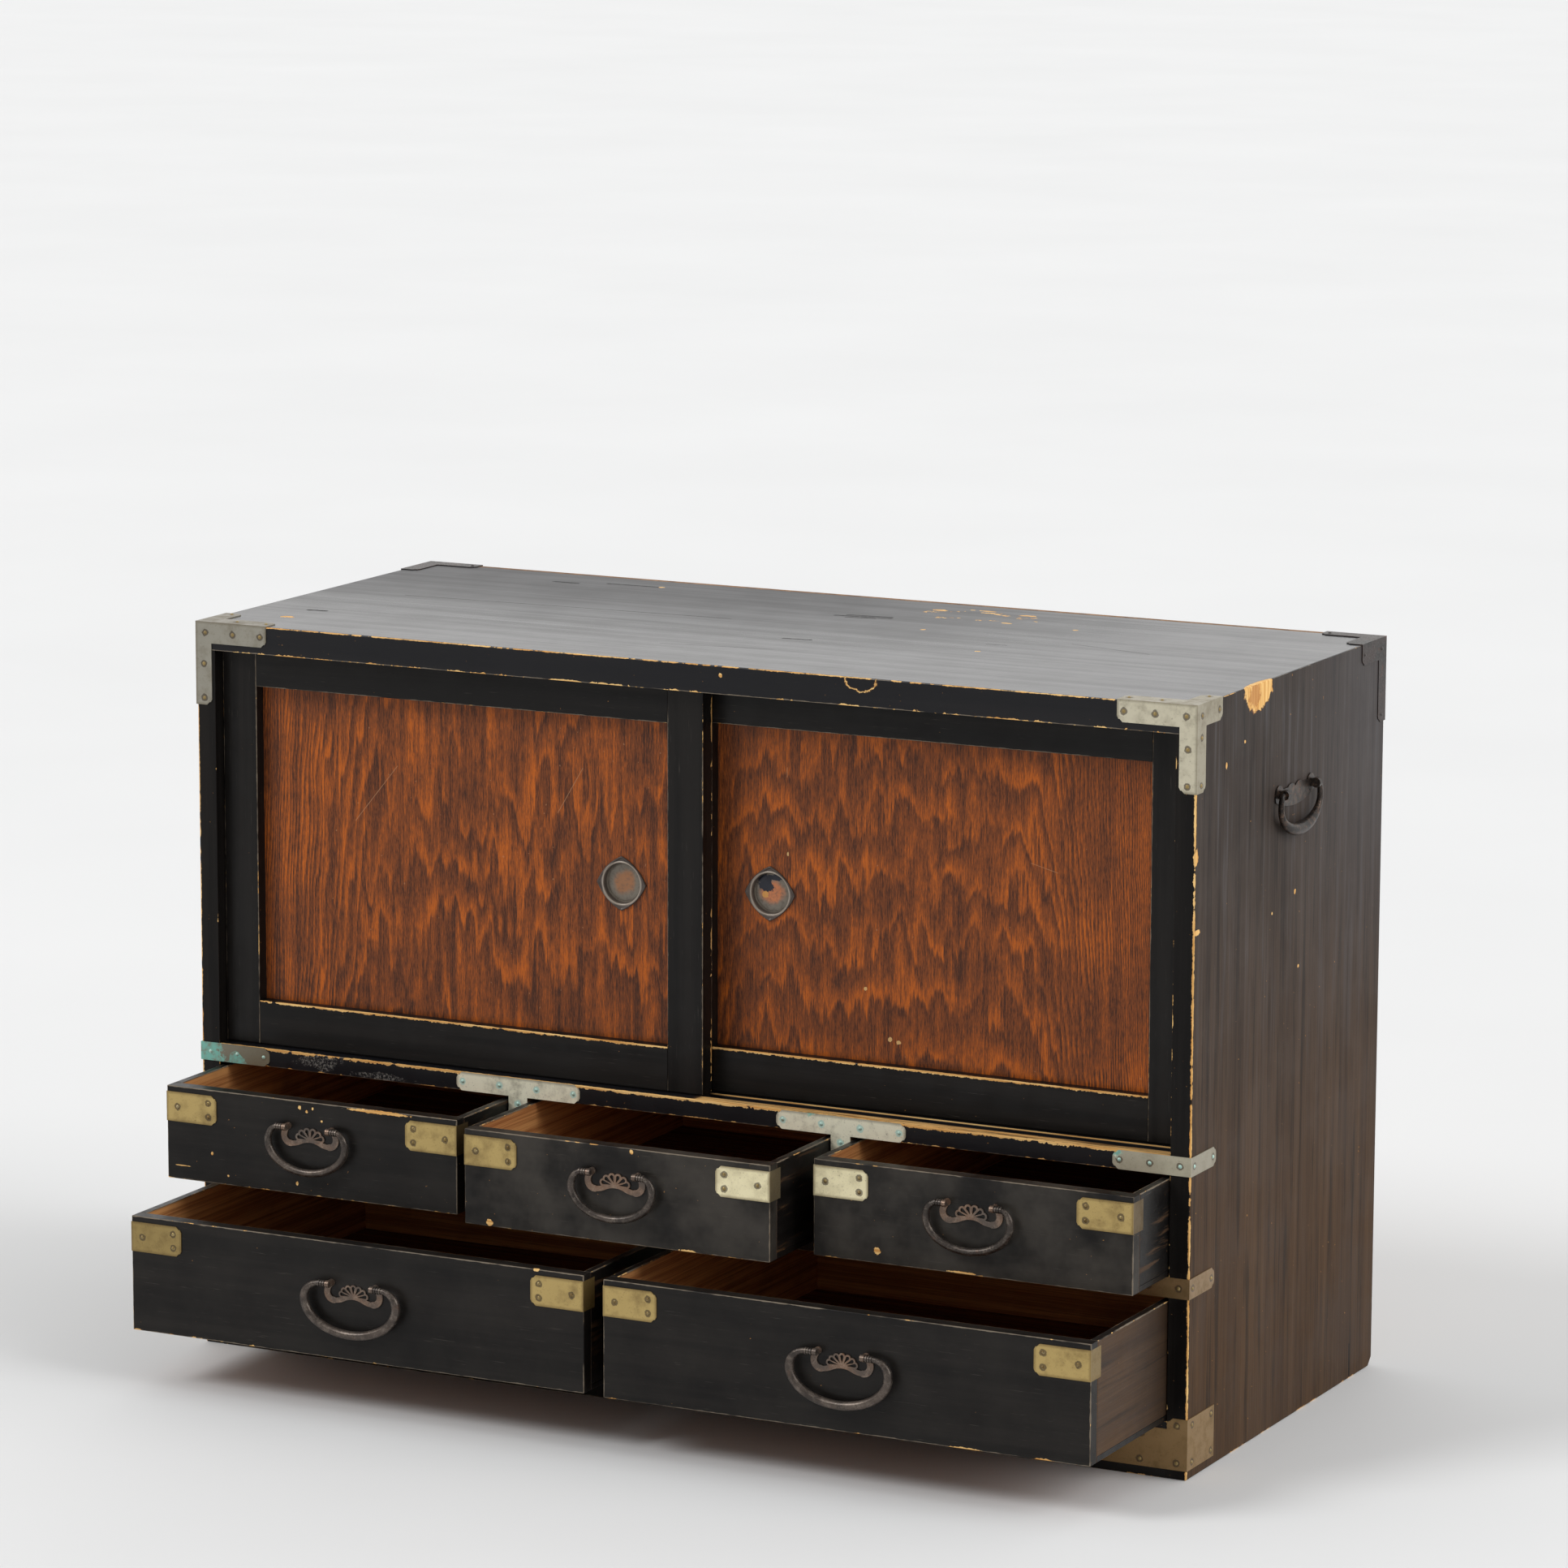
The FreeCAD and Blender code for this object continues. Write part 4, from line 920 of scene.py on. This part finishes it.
def dress_pull(side):
    """A pull with a rounded bead, a sunk rim and a stepped cup, in place of the CAD one."""
    name = "door_%s_pull" % side
    low, high = box_of(name)
    middle_x = (low[0] + high[0]) / 2
    middle_z = (low[2] + high[2]) / 2
    face = low[1] + PULL_RIM_HEIGHT
    depth = high[1] - face
    rings = [("rim", inset, height) for inset, height in PULL_RIM]
    rings += [("cup", radius, height) for radius, height in PULL_BEAD]
    rings += [("cup", radius, -depth * share) for radius, share in PULL_HOLLOW]
    points, faces = [], []
    for kind, value, height in rings:
        for step in range(PULL_STEPS):
            angle = 2 * math.pi * step / PULL_STEPS
            radius = pull_radius(angle, value) if kind == "rim" else value
            points.append(((middle_x + radius * math.cos(angle)) * MM, (face - height) * MM,
                           (middle_z + radius * math.sin(angle)) * MM))
    for start in range(0, (len(rings) - 1) * PULL_STEPS, PULL_STEPS):
        for step in range(PULL_STEPS):
            after = (step + 1) % PULL_STEPS
            faces.append((start + step, start + after, start + PULL_STEPS + after, start + PULL_STEPS + step))
    faces.append(list(range((len(rings) - 1) * PULL_STEPS, len(rings) * PULL_STEPS)))
    piece(name + "_turned", points, faces, pull_metal(side, middle_x, middle_z), name, PULL_SHARP_ANGLE)


def dress_doors():
    for side in ("left", "right"):
        in_parts("door_%s_frame" % side, lambda low, high, side=side: door_member(side, low, high))
        dress_pull(side)
    paint("door_left_panel", figured_panel("door_left_panel", LEFT_FIGURE, LEFT_SCRATCHES, [], (300, 0, 0)))
    paint("door_right_panel", figured_panel("door_right_panel", RIGHT_FIGURE, RIGHT_SCRATCHES, RIGHT_MARKS,
                                            (1700, 0, 0)))


# Drawers

# Drawers whose fronts get a heavier haze: dust, and painted sheen
DUST_AND_SHEEN_DRAWERS = "bc"
BROWN_SIDED_DRAWER = "e"
# Drawers whose corner plates get heavier painted shade on their legs round the corner
LEG_SHADED_DRAWERS = "abc"

# How bright each drawer's left and right corner plates have stayed
PLATE_TONES = {"a": (BRASS_PLAIN, BRASS_PLAIN), "b": (BRASS_PLAIN, BRASS_PALE), "c": (BRASS_PALE, BRASS_PLAIN),
               "d": (BRASS_DULL, BRASS_PLAIN), "e": (BRASS_PLAIN, BRASS_PLAIN)}

# Chips on each drawer's front, as rows for marks_on()
DRAWER_CHIPS = {
    "a": [(-318, 246, 1.6, 2), (-311, 243, 1.4, 1.6), (-305, 246, 1, 1.4), (-296, 236, 1, 1), (-406, 196, 1.3, 1.6),
          (-321, 179, 1.3, 1.6), (-390, 178, 1, 1), (-240, 250, 30, 1.6), (-437, 182, 9, 0.5)],
    "b": [(-120, 173, 3.5, 3), (15, 249, 1.8, 2), (68, 170, 9, 2)],
    "c": [(222, 180, 3.2, 3.2), (300, 171, 14, 1)],
    "d": [(-447, 48, 5, 1.6), (-390, 48, 3, 1.6), (-332, 48, 3, 1.6), (-55, 149, 3, 2)],
    "e": [(340, 48, 16, 1.8), (410, 48, 9, 1.8)]}


def drawer_front(name, letter):
    """Black outside and over the arrises, bare wood towards the drawer's inside."""
    low, high = box_of(name)
    g = Graph(name, (low[0] * 3, low[1] * 7, low[2]))
    black = black_coat(g, "x")
    # A dusty haze that also stands in for painted sheen, heavier on some drawers.
    dust_and_sheen = g.rise(g.noise(60, 4, 0.6), 0.3, 0.7) * (0.3 if letter in DUST_AND_SHEEN_DRAWERS else 0.05)
    black = tinted(g, black, dust_and_sheen, DUST)
    coat = over(g, at_face(g, "y", high[1], 1), black, wood_coat(g, "x", INSIDE_PALE, INSIDE_DEEP))
    edges = {"x-+": (0.8, 0.35), "x--": (1.2, 0.35), "x++": (0.7, 0.3), "z--": (0.6, 0.3), "z+-": (0.6, 0.3)}
    coat = rubbed(g, coat, low, high, edges, 0.9)
    chips = spots(g, marks_on("y", low[1], MARK_REACH, DRAWER_CHIPS[letter]), 0.8, 3)
    bareness = g.most(bare_arrises(g, low, high, edges), chips)
    return g.finish(worn(g, coat, bareness), LACQUER_RELIEF, specular=LACQUER_GLOSS)


def drawer_board(letter, middle_x, low, high):
    """The name and finish of a drawer's side or back: black outside and on its top edge, bare inside."""
    left = low[0] < middle_x
    back = high[0] - low[0] > high[1] - low[1]
    label = "drawer_%s_%s" % (letter, "back" if back else "side_left" if left else "side_right")
    grain = "x" if back else "y"
    g = Graph(label, (low[0] * 5, 0, low[2] * 3))
    coat = wood_coat(g, grain, INSIDE_PALE, INSIDE_DEEP)
    if not back:
        outside = at_face(g, "x", low[0], -1) if left else at_face(g, "x", high[0], 1)
        brown = side_coat(g, grain)
        if letter != BROWN_SIDED_DRAWER:
            brown = over(g, g.rise(g.noise((90, 90, 7), 4, 0.6), 0.56, 0.66), black_coat(g, grain), brown)
        coat = over(g, outside, coat, brown)
        # Painted shade, with some wear: the outside darkens towards the back, near the case.
        dark = g.rise(g.y + g.noise(20) * 40, low[1] + 60, low[1] + 150) * 0.5 * outside
        coat = tinted(g, coat, dark, BLACK)
    coat = over(g, at_face(g, "z", high[2], 1), coat, black_coat(g, grain))
    edges = {"x-+": (0.9, 0.4), "x++": (0.9, 0.4)} if back else {"y-+": (0.9, 0.5), "y++": (0.9, 0.5)}
    coat = rubbed(g, coat, low, high, edges, 1)
    coat = worn(g, coat, bare_arrises(g, low, high, edges), grain)
    return label, g.finish(coat, WOOD_RELIEF, specular=INSIDE_GLOSS)


def dress_drawer(letter):
    name = "drawer_%s_" % letter
    paint(name + "front", drawer_front(name + "front", letter))
    low, high = box_of(name + "box")
    middle_x, half_width = (low[0] + high[0]) / 2, (high[0] - low[0]) / 2
    in_parts(name + "box", lambda a, b: drawer_board(letter, middle_x, a, b))
    g = Graph(name + "bottom", (low[0], 500, low[2]))
    ends = g.rise(abs(g.x - middle_x), half_width - 2, half_width - 1)
    coat = over(g, ends, wood_coat(g, "x", BOTTOM_PALE, BOTTOM_DEEP), black_coat(g, "y"))
    paint(name + "bottom", g.finish(coat, WOOD_RELIEF, specular=INSIDE_GLOSS))
    paint(name + "handle_plate", forged_iron(name + "handle_plate", IRON_BROWN, IRON_TAN, shine=0.3, offset=low))
    paint(name + "bail", forged_iron(name + "bail", IRON_DARK, IRON_BROWN, shine=0.25, depth=0.1, rust=0.08,
                                     offset=low))
    nail = forged_iron(name + "nails", BRASS_STAIN, BRASS_DULL, BRASS_PALE, 0.4, offset=(low[0], 300, 0))
    nails = list(nail_middles(name + "plates"))
    count = itertools.count(1)

    def plate_or_nail(a, b):
        if b[2] - a[2] < NAIL_LIMIT:
            return "%snail_%d" % (name, next(count)), nail
        right = a[0] > middle_x
        label = "%splate_%s" % (name, "right" if right else "left")
        face = PLATE_TONES[letter][right]
        soil = 0.25 if face == BRASS_PALE else 0.5
        # Painted shade on the plate's leg round the corner, heavier on some drawers
        fall = 0.7 if letter in LEG_SHADED_DRAWERS else 0.2
        return label, plate_metal(label, a, b, face, BRASS_STAIN, soil=soil, nails=nails, fall=fall,
                                  offset=(a[0] * 2, 0, a[2] * 9))

    in_parts(name + "plates", plate_or_nail)


# Sheet metal on the case

MIDDLE_REACH = 100  # a strap that begins this near the middle is the middle one
CRUST_REACH = 60


def case_nail_material():
    """Browned domes; those at the sill have gone green, and those at the rear are black."""
    low, high = box_of("door_sill")
    g = Graph("case_nails")
    crust = g.rise(abs(g.z - (low[2] + high[2]) / 2), 22, 18) * g.rise(g.noise(6, 3), 0.3, 0.42) * 0.85
    coat = tinted(g, sheet_coat(g, BRASS_DULL, HALO), crust, VERDIGRIS_PALE)
    coat = tinted(g, coat, g.rise(g.y, 0, 100), IRON_DARK)
    return g.finish(coat, METAL_RELIEF, metallic=NAIL_METALLIC)


def dress_hardware():
    nails = list(nail_middles("case_nails"))
    rail_top = box_of("middle_rail")[1][2]

    def sided(prefix, low):
        return "%s_%s" % (prefix, "left" if low[0] < -MIDDLE_REACH else "middle" if low[0] < MIDDLE_REACH else "right")

    def top_plate(low, high):
        label = sided("top_corner_plate", low)
        face = SILVER_DULL if "left" in label else SILVER_FACE
        return label, plate_metal(label, low, high, face, SILVER_STAIN, TINNED_METALLIC, soil=0.45, nails=nails,
                                  offset=(low[0], 0, 0))

    def bottom_plate(low, high):
        label = sided("bottom_corner_plate", low)
        return label, plate_metal(label, low, high, BOTTOM_FACE, BRASS_STAIN, soil=0.55, nails=nails,
                                  offset=(low[0], 0, 50))

    def strap(label, low, high, *finish, **more):
        return label, plate_metal(label, low, high, *finish, nails=nails, offset=(low[0] * 3, 0, low[2] * 5), **more)

    def end_strap(low, high):
        if low[2] < rail_top:
            return strap(sided("rail_strap", low), low, high, BROWNED_FACE, BRASS_STAIN, RAIL_STRAP_METALLIC)
        # Painted shade on the sill straps' legs round the corner
        label = sided("sill_strap", low)
        if "left" in label:
            middle_z = (low[2] + high[2]) / 2
            rows = [(low[0] + 2, middle_z, 22, 30), (low[0] + 36, middle_z - 4, 7, 8)]
            return strap(label, low, high, STRAP_GREY, SILVER_STAIN, GREEN_STRAP_METALLIC, green=0.35,
                         green_spots=marks_on("y", low[1], CRUST_REACH, rows), halo=SILVER_STAIN, fall=0.3)
        return strap(label, low, high, PALE_FACE, SILVER_STAIN, SILL_STRAP_METALLIC, soil=0.3, green=0.3, fall=0.45)

    def t_strap(low, high):
        label = sided("t_strap", low)
        if "right" in label:
            return strap(label, low, high, WHITE_FACE, SILVER_DULL, SILL_STRAP_METALLIC, soil=0.15, green=0.35,
                         halo=STRAP_GREY)
        return strap(label, low, high, PALE_FACE, SILVER_STAIN, SILL_STRAP_METALLIC, soil=0.5, green=0.15,
                     halo=VERDIGRIS_PALE)

    in_parts("top_corner_plates", top_plate)
    in_parts("bottom_corner_plates", bottom_plate)
    in_parts("end_straps", end_strap)
    in_parts("t_straps", t_strap)
    paint("back_corner_plates", forged_iron("back_plates", SIDE_IRON, REAR_BROWN, IRON_DARK, 0.3))
    paint("case_nails", case_nail_material())
    for side in ("left", "right"):
        # On the side handles the tan worn tone and the rust are partly painted highlights.
        for part, rust in (("side_handle_plate_", 0.45), ("side_bail_", 0.15)):
            paint(part + side, forged_iron(part + side, SIDE_IRON, IRON_DARK, IRON_TAN, shine=0.6, depth=0.1,
                                           rust=rust, offset=(200, 0, 0)))


# Surroundings

FLOOR_REACH = 60  # in metres
FLOOR_TONES = ((221, 222, 223), (228, 229, 230))
BACKGROUND = (1, 0.99, 0.975, 1)
# The world's brightness before the chest and behind it, and the direction's share of Y where each is reached
ROOM_LIGHT, BACKDROP_LIGHT = 0.38, 0.95
ROOM_EDGE, BACKDROP_EDGE = -0.7, 0.5
# Each lamp's direction, strength and width in degrees
LAMPS = {"key": ((-0.62, -0.62, 0.75), 1.3, 22), "right": ((0.86, 0.05, 0.52), 1.3, 40)}


def make_floor():
    """A plain pale floor that fills the view and keeps the chest's shadow."""
    mesh = bpy.data.meshes.new("floor")
    corners = [(x * FLOOR_REACH, y * FLOOR_REACH, 0) for x, y in ((-1, -1), (1, -1), (1, 1), (-1, 1))]
    mesh.from_pydata(corners, [], [(0, 1, 2, 3)])
    g = Graph("floor")
    coat = Coat(g.mix(g.noise(700, 3, 0.5), *FLOOR_TONES), g.between(g.noise(90), 0.7, 0.8), g.noise(17))
    mesh.materials.append(g.finish(coat, FLOOR_RELIEF, specular=FLOOR_GLOSS))
    floor = add_object("floor", mesh)


def sun(name, direction, strength, softness):
    """Even light from a direction; softness is the width in degrees that it comes from."""
    light = bpy.data.lights.new(name, "SUN")
    light.energy = strength
    light.angle = math.radians(softness)
    lamp = add_object(name, light)
    lamp.rotation_euler = (-Vector(direction)).to_track_quat("-Z", "Y").to_euler()


def make_lights():
    """A bright backdrop behind the chest, a dimmer room before it, and soft light from both sides."""
    world = bpy.data.worlds.new("studio")
    bpy.context.scene.world = world
    world.use_nodes = True
    tree = world.node_tree
    background = tree.nodes["Background"]
    background.inputs["Color"].default_value = BACKGROUND
    direction = tree.nodes.new("ShaderNodeTexCoord").outputs["Generated"]
    parts = tree.nodes.new("ShaderNodeSeparateXYZ")
    tree.links.new(direction, parts.inputs[0])
    strength = tree.nodes.new("ShaderNodeMapRange")
    strength.interpolation_type = "SMOOTHSTEP"
    tree.links.new(parts.outputs["Y"], strength.inputs["Value"])
    for socket, value in (("From Min", ROOM_EDGE), ("From Max", BACKDROP_EDGE), ("To Min", ROOM_LIGHT),
                          ("To Max", BACKDROP_LIGHT)):
        strength.inputs[socket].default_value = value
    tree.links.new(strength.outputs["Result"], background.inputs["Strength"])
    for name, settings in LAMPS.items():
        sun(name, *settings)


def make_camera():
    azimuth, elevation, roll = (math.radians(v) for v in (CAMERA_AZIMUTH, CAMERA_ELEVATION, CAMERA_ROLL))
    back = Vector((math.sin(azimuth) * math.cos(elevation), -math.cos(azimuth) * math.cos(elevation),
                   math.sin(elevation)))
    right = Vector((math.cos(azimuth), math.sin(azimuth), 0))
    up = back.cross(right)
    turned_right = right * math.cos(roll) + up * math.sin(roll)
    turned_up = up * math.cos(roll) - right * math.sin(roll)
    data = bpy.data.cameras.new("camera")
    data.sensor_width = SENSOR_WIDTH
    data.lens = FOCAL_LENGTH
    data.clip_end = CAMERA_SIGHT
    camera = add_object("camera", data)
    axes = Matrix((turned_right, turned_up, back)).transposed().to_4x4()
    camera.matrix_world = Matrix.Translation(Vector(CAMERA_PLACE) * MM) @ axes
    bpy.context.scene.camera = camera


dress_case()
dress_doors()
for drawer in "abcde":
    dress_drawer(drawer)
dress_hardware()
make_floor()
make_lights()
make_camera()
bpy.context.scene.view_settings.view_transform = "Standard"
